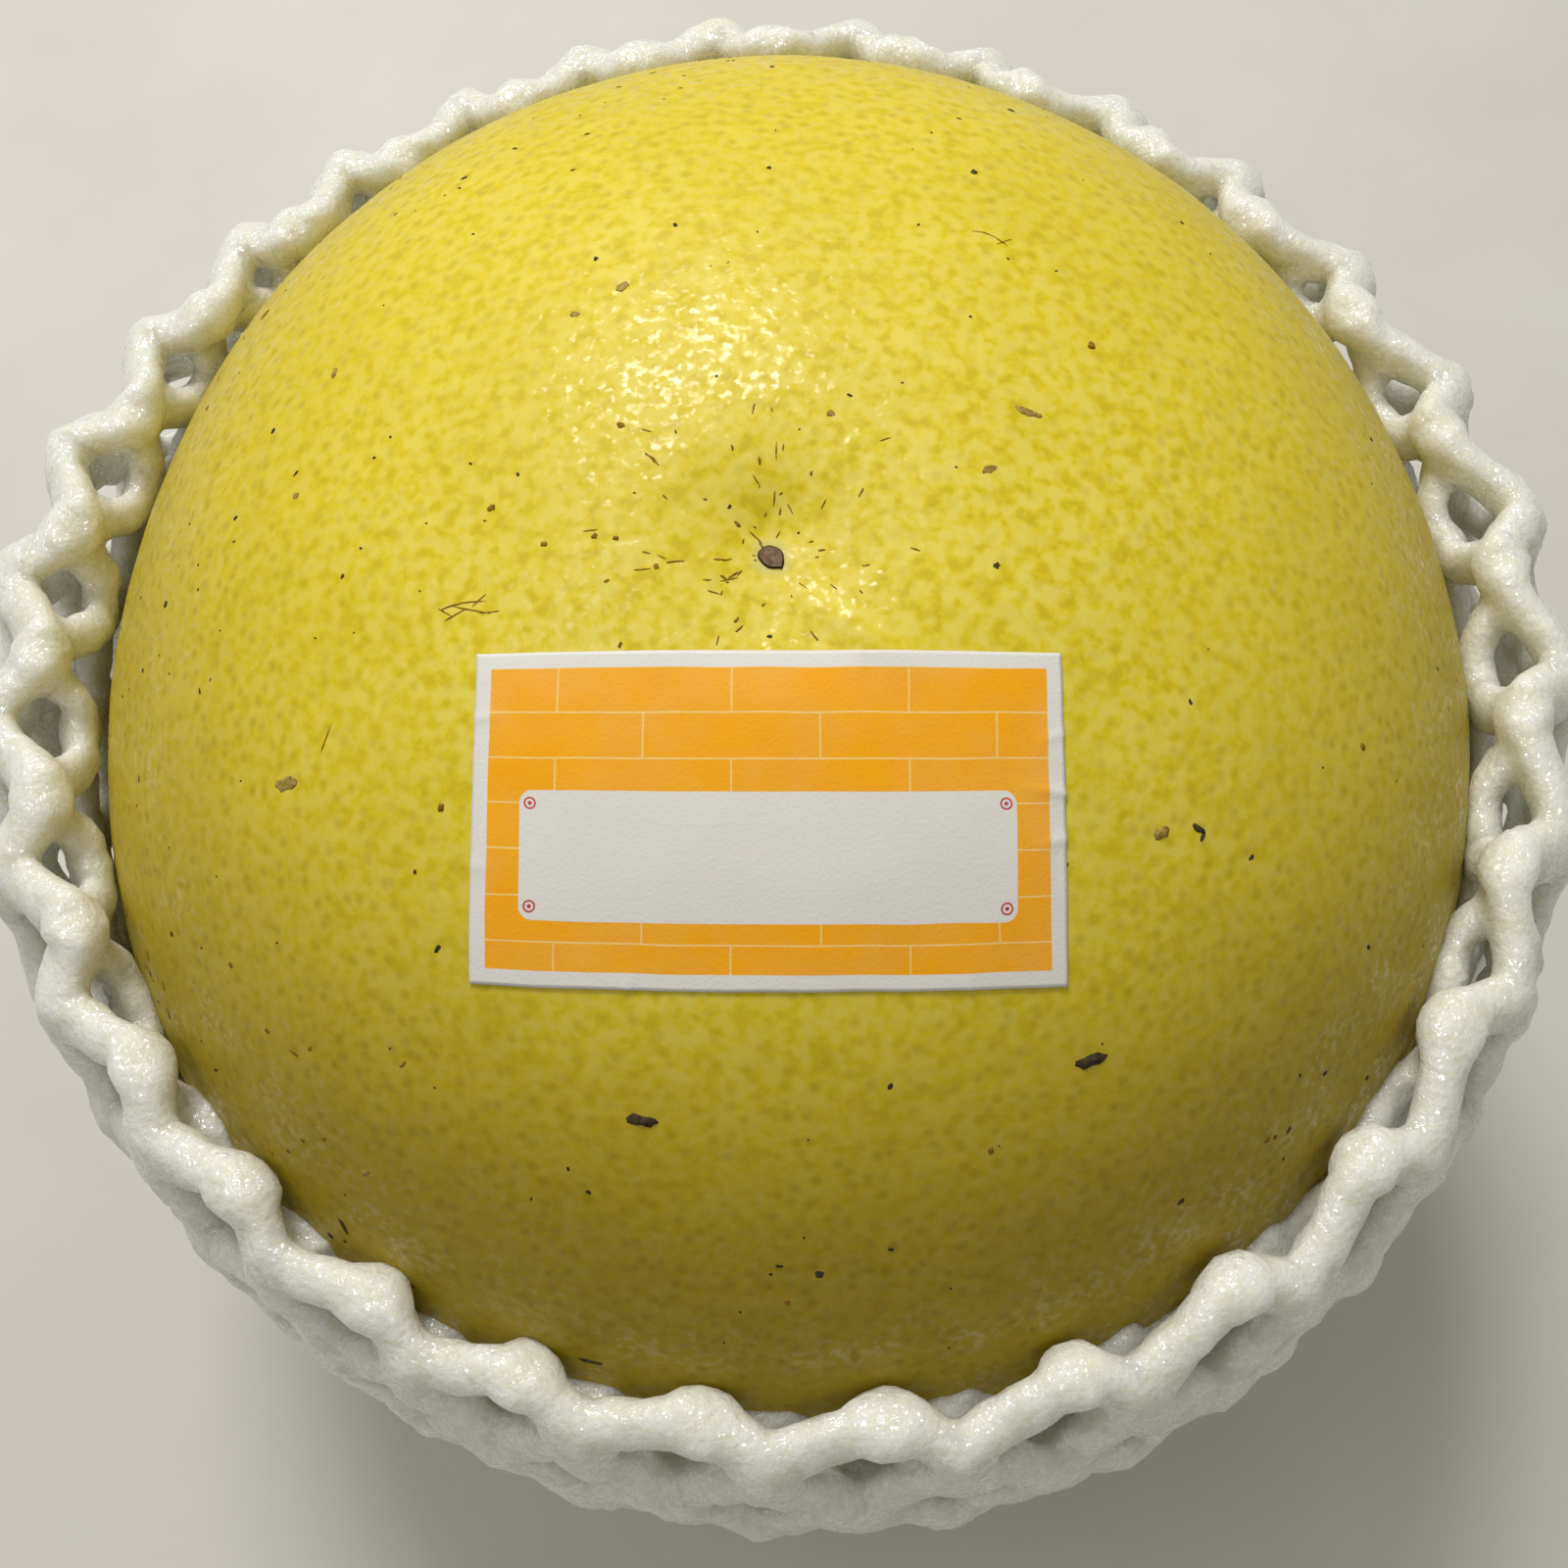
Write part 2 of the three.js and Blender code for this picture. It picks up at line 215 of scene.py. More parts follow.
@dataclass
class Heap:
    """Collects closed shells for one object."""

    points: list[np.ndarray] = field(default_factory=list)
    faces: list[tuple[int, ...]] = field(default_factory=list)
    count: int = 0

    def add(self, points: np.ndarray, faces: Sequence[Sequence[int]]) -> None:
        """Adds a shell.

        Args:
            points: Its points, one row each.
            faces: Its faces, by the numbers of these points.
        """
        first = self.count
        self.points.append(points)
        self.faces.extend(tuple(number + first for number in face) for face in faces)
        self.count += len(points)

    def make(self, name: str) -> bpy.types.Object:
        """Makes an object of all the shells."""
        return make_object(name, np.concatenate(self.points), self.faces)

    def add_tube(self, line: np.ndarray, out: np.ndarray, wide: float, thick: float, sides: int = 10) -> None:
        """Adds a closed tube with an oval section.

        Args:
            line: Its middle line, one row for each place.
            out: Directions across its flat side, one for each place.
            wide: Half its width.
            thick: Half its thickness.
            sides: Points round it.
        """
        run = unit(np.gradient(line, axis=0))
        side = unit(np.cross(run, out))
        across = np.cross(side, run)
        turn = turns(sides)
        ring = (
            line[:, None]
            + wide * np.cos(turn)[None, :, None] * side[:, None]
            + thick * np.sin(turn)[None, :, None] * across[:, None]
        )
        count = len(line) * sides
        points = np.concatenate([ring.reshape(-1, 3), line[:1], line[-1:]])
        self.add(points, ring_faces(len(line), sides, (count, count + 1), turned=True))

    def add_ball(self, centre: np.ndarray, axes: np.ndarray, sides: int = 12, rings: int = 7) -> None:
        """Adds a closed ball of three different half widths.

        Args:
            centre: Its middle.
            axes: Its three half axes, one row each.
            sides: Points round it.
            rings: Rings between its ends.
        """
        tilt = np.repeat(np.arange(1, rings + 1) * math.pi / (rings + 1) - math.pi / 2, sides)
        turn = np.tile(turns(sides), rings)
        shape = np.concatenate([directions(turn, tilt), [[0.0, 0.0, -1.0], [0.0, 0.0, 1.0]]])
        if np.linalg.det(axes) < 0:
            shape = shape * (-1.0, 1.0, 1.0)
        self.add(centre + shape @ axes, ring_faces(rings, sides, (rings * sides, rings * sides + 1)))


def bake_modifiers(target: bpy.types.Object) -> None:
    """Replaces an object's mesh by what its modifiers make of it.

    Args:
        target: The object, whose modifiers are removed afterwards.
    """
    depsgraph = bpy.context.evaluated_depsgraph_get()
    made = bpy.data.meshes.new_from_object(target.evaluated_get(depsgraph), depsgraph=depsgraph)
    made.name = target.name
    old = target.data
    target.modifiers.clear()
    target.data = made
    bpy.data.meshes.remove(old)


def vertices_mm(target: bpy.types.Object) -> np.ndarray:
    """The object's vertices in millimetres."""
    flat = np.empty(len(target.data.vertices) * 3)
    target.data.vertices.foreach_get("co", flat)
    return flat.reshape(-1, 3) / MM


def displace(target: bpy.types.Object, heights: np.ndarray) -> None:
    """Moves each vertex along its normal.

    Args:
        target: The object.
        heights: How far each vertex moves, in millimetres.
    """
    normals = np.empty(len(target.data.vertices) * 3)
    target.data.vertices.foreach_get("normal", normals)
    moved = (vertices_mm(target) + normals.reshape(-1, 3) * heights[:, None]) * MM
    target.data.vertices.foreach_set("co", moved.ravel())
    target.data.update()


def settle(piece: bpy.types.Object, material: bpy.types.Material, slot: Slot, *nodes: str) -> None:
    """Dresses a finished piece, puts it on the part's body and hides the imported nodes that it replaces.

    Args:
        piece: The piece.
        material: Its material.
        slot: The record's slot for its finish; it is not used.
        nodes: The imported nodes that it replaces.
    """
    piece.data.materials.append(material)
    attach(piece, BODY)
    if nodes:
        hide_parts(*nodes)
    piece.data.calc_loop_triangles()
    LOG.info("%s: %d triangles", piece.name, len(piece.data.loop_triangles))


# --- Shader helpers and shared effects --------------------


class NodeSheet:
    """Adds nodes to one node tree and links them."""

    def __init__(self, tree: bpy.types.NodeTree) -> None:
        """Starts on a node tree."""
        self.tree = tree

    def feed(self, socket: Socket, value: object) -> None:
        """Links a socket to another, or sets its own value."""
        if isinstance(value, Socket):
            self.tree.links.new(value, socket)
        else:
            socket.default_value = value

    def node(self, kind: str, inputs: dict | None = None, **settings: object) -> bpy.types.Node:
        """Adds a node.

        Args:
            kind: The node's type name.
            inputs: What each input socket gets, by name or number.
            settings: The node's own properties.

        Returns:
            The new node.
        """
        made = self.tree.nodes.new(kind)
        for name, value in settings.items():
            setattr(made, name, value)
        self.give(made, inputs or {})
        return made

    def give(self, node: bpy.types.Node, inputs: dict) -> None:
        """Feeds a node's sockets, by name or number."""
        for key, value in inputs.items():
            self.feed(node.inputs[key], value)

    def math(self, operation: str, first: object, second: object = 0.0) -> Socket:
        """A Math node's result."""
        return self.node("ShaderNodeMath", {0: first, 1: second}, operation=operation).outputs[0]

    def vector(self, operation: str, first: object, second: object) -> Socket:
        """A Vector Math node's vector result."""
        made = self.node("ShaderNodeVectorMath", {0: first, 1: second}, operation=operation)
        return made.outputs["Value" if operation in {"DISTANCE", "LENGTH"} else "Vector"]

    def eased(self, value: object, low: float, high: float) -> Socket:
        """A value eased from 0 at low to 1 at high."""
        limits = {"Value": value, "From Min": low, "From Max": high}
        return self.node("ShaderNodeMapRange", limits, interpolation_type="SMOOTHSTEP").outputs[0]

    def spread(self, value: object, low: float, high: float) -> Socket:
        """A value from 0 to 1 spread between low and high."""
        limits = {"Value": value, "To Min": low, "To Max": high}
        return self.node("ShaderNodeMapRange", limits).outputs[0]

    def blend(self, share: object, first: object, second: object, how: str = "MIX") -> Socket:
        """Two colours mixed, by the share of the second one."""
        made = self.node("ShaderNodeMix", {0: share, 6: first, 7: second}, data_type="RGBA", blend_type=how)
        return made.outputs[2]

    def noise(self, place: object, scale: float, detail: float) -> Socket:
        """A smooth noise over places: its lumps per metre and its octaves."""
        inputs = {"Vector": place, "Scale": scale, "Detail": detail}
        return self.node("ShaderNodeTexNoise", inputs).outputs[0]

    def bump(self, height: object, distance: float, strength: float = 1.0) -> Socket:
        """The normal of a height, for a depth in metres."""
        inputs = {"Height": height, "Distance": distance, "Strength": strength}
        return self.node("ShaderNodeBump", inputs).outputs[0]

    def product(self, first: object, second: object) -> Socket:
        """Two values multiplied."""
        return self.math("MULTIPLY", first, second)

    def rest(self, value: object) -> Socket:
        """What is left of 1."""
        return self.math("SUBTRACT", 1.0, value)

    def apart(self, first: object, second: object) -> Socket:
        """The length of two distances at a right angle."""
        squares = self.math("ADD", self.product(first, first), self.product(second, second))
        return self.math("SQRT", squares)

    def place(self) -> Socket:
        """The place on the object, in metres."""
        return self.node("ShaderNodeTexCoord").outputs["Object"]


def effect_group(
    name: str,
    inputs: dict[str, tuple[str, object]],
    outputs: dict[str, str],
    build: Callable[[NodeSheet, bpy.types.Node], dict[str, Socket]],
) -> bpy.types.NodeTree:
    """Makes a shader node group once, or gives the one that is there.

    Args:
        name: The group's name.
        inputs: Socket type and default value of each input.
        outputs: Socket type of each output.
        build: Adds the nodes inside, and returns what each output gets.

    Returns:
        The node group.
    """
    if name in bpy.data.node_groups:
        return bpy.data.node_groups[name]
    tree = bpy.data.node_groups.new(name, "ShaderNodeTree")
    for label, (kind, value) in inputs.items():
        socket = tree.interface.new_socket(label, in_out="INPUT", socket_type=kind)
        socket.default_value = value
    for label, kind in outputs.items():
        tree.interface.new_socket(label, in_out="OUTPUT", socket_type=kind)
    sheet = NodeSheet(tree)
    entry = sheet.node("NodeGroupInput")
    sheet.node("NodeGroupOutput", build(sheet, entry))
    return tree


FLOAT = "NodeSocketFloat"
VECTOR = "NodeSocketVector"
ORIGIN = (0.0, 0.0, 0.0)


def mottle_group() -> bpy.types.NodeTree:
    """Soft uneven patches: two noises of different size, as a value from 0 to 1."""

    broad_share, finer = 0.65, 3.7

    def build(sheet: NodeSheet, entry: bpy.types.Node) -> dict[str, Socket]:
        """Adds the two noises and their sum."""
        scaled = sheet.vector("SCALE", entry.outputs["Place"], ORIGIN)
        sheet.feed(scaled.node.inputs["Scale"], sheet.math("DIVIDE", 1.0 / MM, entry.outputs["Size"]))
        broad = sheet.product(sheet.noise(scaled, 1.0, 1.0), broad_share)
        close = sheet.product(sheet.noise(scaled, finer, 2.0), 1.0 - broad_share)
        return {"Value": sheet.eased(sheet.math("ADD", broad, close), 0.3, 0.7)}

    inputs = {"Place": (VECTOR, ORIGIN), "Size": (FLOAT, 10.0)}
    return effect_group("mottle", inputs, {"Value": FLOAT}, build)


@dataclass(frozen=True)
class Finish:
    """What every finish has: a name, a roughness and a way to start its material."""

    name: str
    roughness: float

    def start(self) -> tuple[bpy.types.Material, NodeSheet, bpy.types.Node]:
        """Makes the material with its main shader.

        Returns:
            The material, a sheet for its nodes and the Principled shader.
        """
        material = bpy.data.materials.new(self.name)
        material.use_nodes = True
        tree = material.node_tree
        shader = next(node for node in tree.nodes if node.type == "BSDF_PRINCIPLED")
        shader.inputs["Roughness"].default_value = self.roughness
        return material, NodeSheet(tree), shader

    def mottle(self, sheet: NodeSheet, place: Socket, size: float) -> Socket:
        """Soft patches of a size in millimetres."""
        made = sheet.node("ShaderNodeGroup", node_tree=mottle_group())
        sheet.feed(made.inputs["Place"], place)
        made.inputs["Size"].default_value = size
        return made.outputs["Value"]


@dataclass(frozen=True)
class GrainyFinish(Finish):
    """A dry surface of two mottled colours, with a fine grain. Its patches are in millimetres."""

    name: str
    roughness: float
    dark: Colour
    light: Colour
    patch: float
    grain: float = 0.0
    grain_detail: float = 3.0
    depth: float = 0.0
    specular: float = 0.5

    def colour(self, sheet: NodeSheet, place: Socket) -> Socket:
        """The mottled colour."""
        return sheet.blend(self.mottle(sheet, place, self.patch), self.dark, self.light)

    def build(self) -> bpy.types.Material:
        """Makes the material.

        Returns:
            The material.
        """
        material, sheet, shader = self.start()
        place = sheet.place()
        sheet.feed(shader.inputs["Base Color"], self.colour(sheet, place))
        if self.grain > 0.0:
            height = sheet.noise(place, self.grain, self.grain_detail)
            sheet.feed(shader.inputs["Normal"], sheet.bump(height, self.depth * MM))
        shader.inputs["Specular IOR Level"].default_value = self.specular
        return material


# --- The fruit's form and the view of it --------------------


@dataclass(frozen=True)
class Bulge:
    """A soft swelling of the fruit: how far it stands out, as a share, and where.

    Its side is -1 at the front and 1 at the back, and its reach to both sides is in radians.
    """

    lift: float
    elevation: float
    side: float
    reach: float
    tall: float = 0.33

    def at(self, turn: np.ndarray, height: np.ndarray) -> np.ndarray:
        """Its share for angles round the fruit and above the level."""
        aside = np.arccos(np.clip(self.side * np.sin(turn), -1.0, 1.0))
        return self.lift * np.exp(-(((height - self.elevation) / self.tall) ** 2) - (aside / self.reach) ** 2)


@dataclass(frozen=True)
class FruitForm:
    """The fruit's outline round its own centre, in millimetres.

    Without its last four sizes it is the solid's. Its unevenness is a share of the distance from the centre.
    """

    radius: float = 65.0
    half_height: float = 57.5
    roundness: float = 2.08
    unevenness: tuple[tuple[float, int, float], ...] = ((0.006, 2, 0.8), (0.004, 3, 2.1))
    centre_z: float = 61.5
    tilt: float = math.radians(7.75)
    dimple_depth: float = 1.7
    dimple_radius: float = 7.5
    scar_at: tuple[float, float] = (-0.87, 0.13)
    basin_depth: float = 3.6
    basin_radius: float = 11.0
    narrow: float = 0.0
    narrower_left: float = 0.35
    front_bulge: Bulge = Bulge(0.0, math.radians(24.0), -1.0, 0.85)
    far_bulge: Bulge = Bulge(0.0, math.radians(38.0), 1.0, 1.4)

    @property
    def centre(self) -> np.ndarray:
        """The fruit's centre."""
        return np.array([0.0, 0.0, self.centre_z])

    @property
    def leaning(self) -> np.ndarray:
        """Turns a row vector from the fruit's own axes to the part's."""
        cos, sin = math.cos(self.tilt), math.sin(self.tilt)
        return np.array([[1.0, 0.0, 0.0], [0.0, cos, sin], [0.0, -sin, cos]])

    def body_radius(self, own: np.ndarray) -> np.ndarray:
        """Distance from the centre to the skin without the hollows at the two ends.

        Args:
            own: Unit vectors in the fruit's own axes.

        Returns:
            One distance for each vector.
        """
        turn = np.arctan2(own[..., 1], own[..., 0])
        level = 1.0 - own[..., 2] ** 2
        narrowing = self.narrow * (1.0 - self.narrower_left * np.cos(turn)) * np.cos(turn) ** 4
        uneven = level * (ripple(turn, *self.unevenness) - narrowing)
        height = np.arcsin(np.clip(own[..., 2], -1.0, 1.0))
        for bulge in (self.front_bulge, self.far_bulge):
            uneven = uneven + bulge.at(turn, height)
        across = np.hypot(own[..., 0], own[..., 1]) / self.radius
        along = np.abs(own[..., 2]) / self.half_height
        total = across**self.roundness + along**self.roundness
        return total ** (-1.0 / self.roundness) * (1.0 + uneven)

    def skin_radius(self, own: np.ndarray) -> np.ndarray:
        """Distance from the centre to the skin, with the dimple and the stem's basin.

        Args:
            own: Unit vectors in the fruit's own axes.

        Returns:
            One distance for each vector.
        """
        reach = np.arccos(np.clip(np.abs(own[..., 2]), 0.0, 1.0)) * self.half_height
        dimple = self.dimple_depth * np.exp(-((reach / self.dimple_radius) ** 2))
        basin = self.basin_depth * np.exp(-((reach / self.basin_radius) ** 2))
        return self.body_radius(own) + np.where(own[..., 2] > 0.0, -dimple, -basin)

    def over_skin(self, aims: np.ndarray, height: np.ndarray | float, hollows: bool = True) -> np.ndarray:
        """Points over the skin.

        Args:
            aims: Unit vectors from the centre, in the part's axes.
            height: Height above the skin.
            hollows: Whether the skin has the hollows at its two ends.

        Returns:
            Points in the part's frame.
        """
        radius = self.skin_radius if hollows else self.body_radius
        reach = radius(aims @ self.leaning.T) + height
        return aims * reach[..., None] + self.centre


@dataclass(frozen=True)
class Viewpoint:
    """Where the camera stands. Its picture is square, and pixels count from the top left."""

    distance: float = 160.3
    elevation: float = math.radians(68.9)
    picture_px: float = 1600.0
    focal_px: float = 1610.0
    drop_px: float = 35.0
    sensor_mm: float = 36.0
    clip_start: float = 5.0
    searched: tuple[float, float] = (60.0, 175.0)
    search_step: float = 0.1

    def axes(self) -> tuple[np.ndarray, np.ndarray, np.ndarray]:
        """The camera's right, up and forward directions."""
        sin, cos = math.sin(self.elevation), math.cos(self.elevation)
        down = math.atan(self.drop_px / self.focal_px)
        ahead, above = np.array([0.0, cos, -sin]), np.array([0.0, sin, cos])
        forward = ahead * math.cos(down) - above * math.sin(down)
        up = above * math.cos(down) + ahead * math.sin(down)
        return np.array([1.0, 0.0, 0.0]), up, forward

    def station(self, form: FruitForm) -> np.ndarray:
        """The camera's place in millimetres."""
        away = np.array([0.0, -math.cos(self.elevation), math.sin(self.elevation)])
        return form.centre + away * self.distance

    def aim_at(self, form: FruitForm, seen_at: tuple[float, float]) -> np.ndarray:
        """The direction from the fruit's centre to the skin that shows at a pixel.

        Args:
            form: The fruit's form.
            seen_at: The pixel.

        Returns:
            A unit vector in the part's axes.
        """
        right, up, forward = self.axes()
        middle = self.picture_px / 2
        ray = forward + (right * (seen_at[0] - middle) - up * (seen_at[1] - middle)) / self.focal_px
        ray = unit(ray)
        steps = np.arange(*self.searched, self.search_step)
        away = self.station(form) + ray * steps[:, None] - form.centre
        length = np.linalg.norm(away, axis=1)
        aims = away / length[:, None]
        gap = length - form.skin_radius(aims @ form.leaning.T)
        inside = np.nonzero(gap < 0.0)[0]
        return aims[inside[0] if len(inside) else np.argmin(gap)]

    def place_camera(self, form: FruitForm) -> None:
        """Makes the scene's camera."""
        right, up, forward = self.axes()
        data = bpy.data.cameras.new("camera")
        data.sensor_width = self.sensor_mm
        data.lens = self.sensor_mm * self.focal_px / self.picture_px
        data.clip_start = self.clip_start * MM
        camera = bpy.data.objects.new("camera", data)
        turned = Matrix((right, up, -forward)).transposed().to_4x4()
        camera.matrix_world = Matrix.Translation(Vector(self.station(form) * MM)) @ turned
        bpy.context.scene.collection.objects.link(camera)
        bpy.context.scene.camera = camera


# --- The fruit --------------------


@dataclass(frozen=True)
class PeelFinish(Finish):
    """Waxy yellow citrus peel with oil glands. Sizes are in millimetres.

    Where shade is painted on the peel is given as depths below the origin, and at the front as distances
    ahead of it.
    """

    name: str = "peel"
    roughness: float = 0.5
    base: Colour = paint(224, 203, 34)
    ridge: Colour = paint(236, 221, 110)
    gland: Colour = paint(190, 168, 4)
    deep: Colour = paint(204, 184, 24)
    warm: Colour = paint(232, 204, 30)
    halo: Colour = paint(208, 200, 128)
    # painted shade, multiplied into the peel low down and at the front
    painted_shade: Colour = paint(204, 196, 140)
    low_from: tuple[float, float] = (-114.0, -93.0)
    rim_from: tuple[float, float] = (-90.0, -62.0)
    front_from: tuple[float, float] = (10.0, 48.0)
    kept_at_rim: float = 0.1
    shade_strength: float = 0.6
    front_shade_strength: tuple[float, float] = (0.1, 0.9)
    top_to: tuple[float, float] = (14.0, 44.0)
    gland_spacing: float = 1.35
    micro_size: float = 1.3
    micro_bump: float = 0.12
    glint_bump: float = 1.9
    vein_size: float = 1.1
    pale_veins: tuple[float, float] = (0.4, 0.62)
    dark_veins: tuple[float, float] = (0.33, 0.44)
    fleck_size: float = 0.7
    flecks: tuple[float, float] = (0.46, 0.62)
    wax: float = 0.85
    halo_to: tuple[float, float] = (1.1, 2.3)

    def build(self, form: FruitForm) -> bpy.types.Material:
        """Makes the peel's material.

        Args:
            form: The fruit's form, which says where the scar is.

        Returns:
            The material.
        """
        material, sheet, shader = self.start()
        place = sheet.place()
        from_scar = self.from_scar(sheet, place, form)
        colour = self.skin_colour(sheet, place, from_scar)
        colour = self.with_painted_shade(sheet, place, colour)
        colour = self.with_scar(sheet, place, colour, from_scar)
        rough = sheet.spread(self.mottle(sheet, place, 2.2), self.roughness - 0.07, self.roughness + 0.09)
        fine = sheet.noise(place, 1 / (self.micro_size * MM), 1.5)
        height = sheet.product(fine, self.micro_bump * MM)
        flecks = sheet.eased(sheet.noise(place, 1 / (self.fleck_size * MM), 1.0), *self.flecks)
        waxed = sheet.product(flecks, sheet.spread(self.mottle(sheet, place, 3.5), 0.15, 1.0))
        sheet.give(shader, {
            "Base Color": colour,
            "Roughness": rough,
            "Specular IOR Level": 0.25,
            "Normal": sheet.bump(height, 1.0, 0.5),
            "Coat Weight": sheet.product(waxed, self.wax),
            "Coat Roughness": 0.23,
            "Coat Normal": sheet.bump(height, self.glint_bump),
        })
        return material

    def skin_colour(self, sheet: NodeSheet, place: Socket, from_scar: Socket) -> Socket:
        """The peel's yellow: pale and dark veins, the glands, and broad and small patches.

        Args:
            sheet: The material's nodes.
            place: The place on the object.
            from_scar: Distance from the scar, because the veins fade and the glands darken away from it.

        Returns:
            The colour.
        """
        veins = sheet.noise(place, 1 / (self.vein_size * MM), 2.0)
        down = sheet.eased(from_scar, *self.top_to)
        pale = sheet.eased(veins, *self.pale_veins)
        dark = sheet.rest(sheet.eased(veins, *self.dark_veins))
        colour = self.base
        for mask, near, far, tint in (
            (pale, 0.65, 0.4, self.ridge),
            (self.gland_mask(sheet, place), 0.3, 0.7, self.gland),
            (dark, 0.45, 0.25, self.gland),
        ):
            colour = sheet.blend(sheet.product(mask, sheet.spread(down, near, far)), colour, tint)
        for size, share, tint in ((16.0, 0.3, self.deep), (4.5, 0.15, self.warm)):
            colour = sheet.blend(sheet.product(self.mottle(sheet, place, size), share), colour, tint)
        return colour

    def with_painted_shade(self, sheet: NodeSheet, place: Socket, colour: Socket) -> Socket:
        """Paints shade on the peel low down, most of all at the front, and less again beside the net's rim,
        where the foam throws light back.

        Args:
            sheet: The material's nodes.
            place: The place on the object.
            colour: The peel's colour.

        Returns:
            The colour with the painted shade.
        """
        parts = sheet.node("ShaderNodeSeparateXYZ", {0: place})
        down = sheet.product(parts.outputs[2], -1 / MM)
        ahead = sheet.product(parts.outputs[1], -1 / MM)
        beside_rim = sheet.spread(sheet.eased(down, *self.rim_from), 1.0, self.kept_at_rim)
        low = sheet.product(sheet.eased(down, *self.low_from), beside_rim)
        at_front = sheet.spread(sheet.eased(ahead, *self.front_from), *self.front_shade_strength)
        # painted shade: the peel is darkened low down, more at the front and less beside the net's rim
        for share in (self.shade_strength, at_front):
            colour = sheet.blend(sheet.product(low, share), colour, self.painted_shade, "MULTIPLY")
        return colour

    def gland_mask(self, sheet: NodeSheet, place: Socket) -> Socket:
        """1 in the middle of an oil gland and 0 on the ridges between."""
        inputs = {"Vector": place, "Scale": 1 / (self.gland_spacing * MM), "Randomness": 0.9}
        cells = sheet.node("ShaderNodeTexVoronoi", inputs)
        return sheet.rest(sheet.eased(cells.outputs["Distance"], 0.0, 0.52))

    def with_scar(self, sheet: NodeSheet, place: Socket, colour: Socket, from_scar: Socket) -> Socket:
        """Adds the pale ring round the stylar scar to the peel's colour.

        Args:
            sheet: The material's nodes.
            place: The place on the object.
            colour: The peel's colour.
            from_scar: Distance from the scar.

        Returns:
            The peel's colour with the ring in it.
        """
        wavy = sheet.product(sheet.noise(place, 900.0, 3.0), 0.7)
        away = sheet.math("ADD", from_scar, wavy)
        ring = sheet.rest(sheet.eased(away, *self.halo_to))
        return sheet.blend(sheet.product(ring, 0.65), colour, self.halo)

    def from_scar(self, sheet: NodeSheet, place: Socket, form: FruitForm) -> Socket:
        """Distance from the scar in millimetres."""
        aim = unit(np.array([[form.scar_at[0], form.scar_at[1], form.half_height]])) @ form.leaning
        middle = tuple(form.over_skin(aim, 0.0)[0] * MM)
        return sheet.product(sheet.vector("DISTANCE", place, middle), 1 / MM)


@dataclass(frozen=True)
class Fold:
    """A low fold of the skin near the scar, or a hollow: its middle, its length and width, and its height."""

    middle: tuple[float, float]
    reach: tuple[float, float]
    height: float
    angle: float = 0.0

    def at(self, spots: np.ndarray) -> np.ndarray:
        """Its height at places in the fruit's own axes."""
        x, y = spots[:, 0] - self.middle[0], spots[:, 1] - self.middle[1]
        along = (x * math.cos(self.angle) + y * math.sin(self.angle)) / self.reach[0]
        across = (y * math.cos(self.angle) - x * math.sin(self.angle)) / self.reach[1]
        return self.height * np.exp(-(along**2) - across**2)


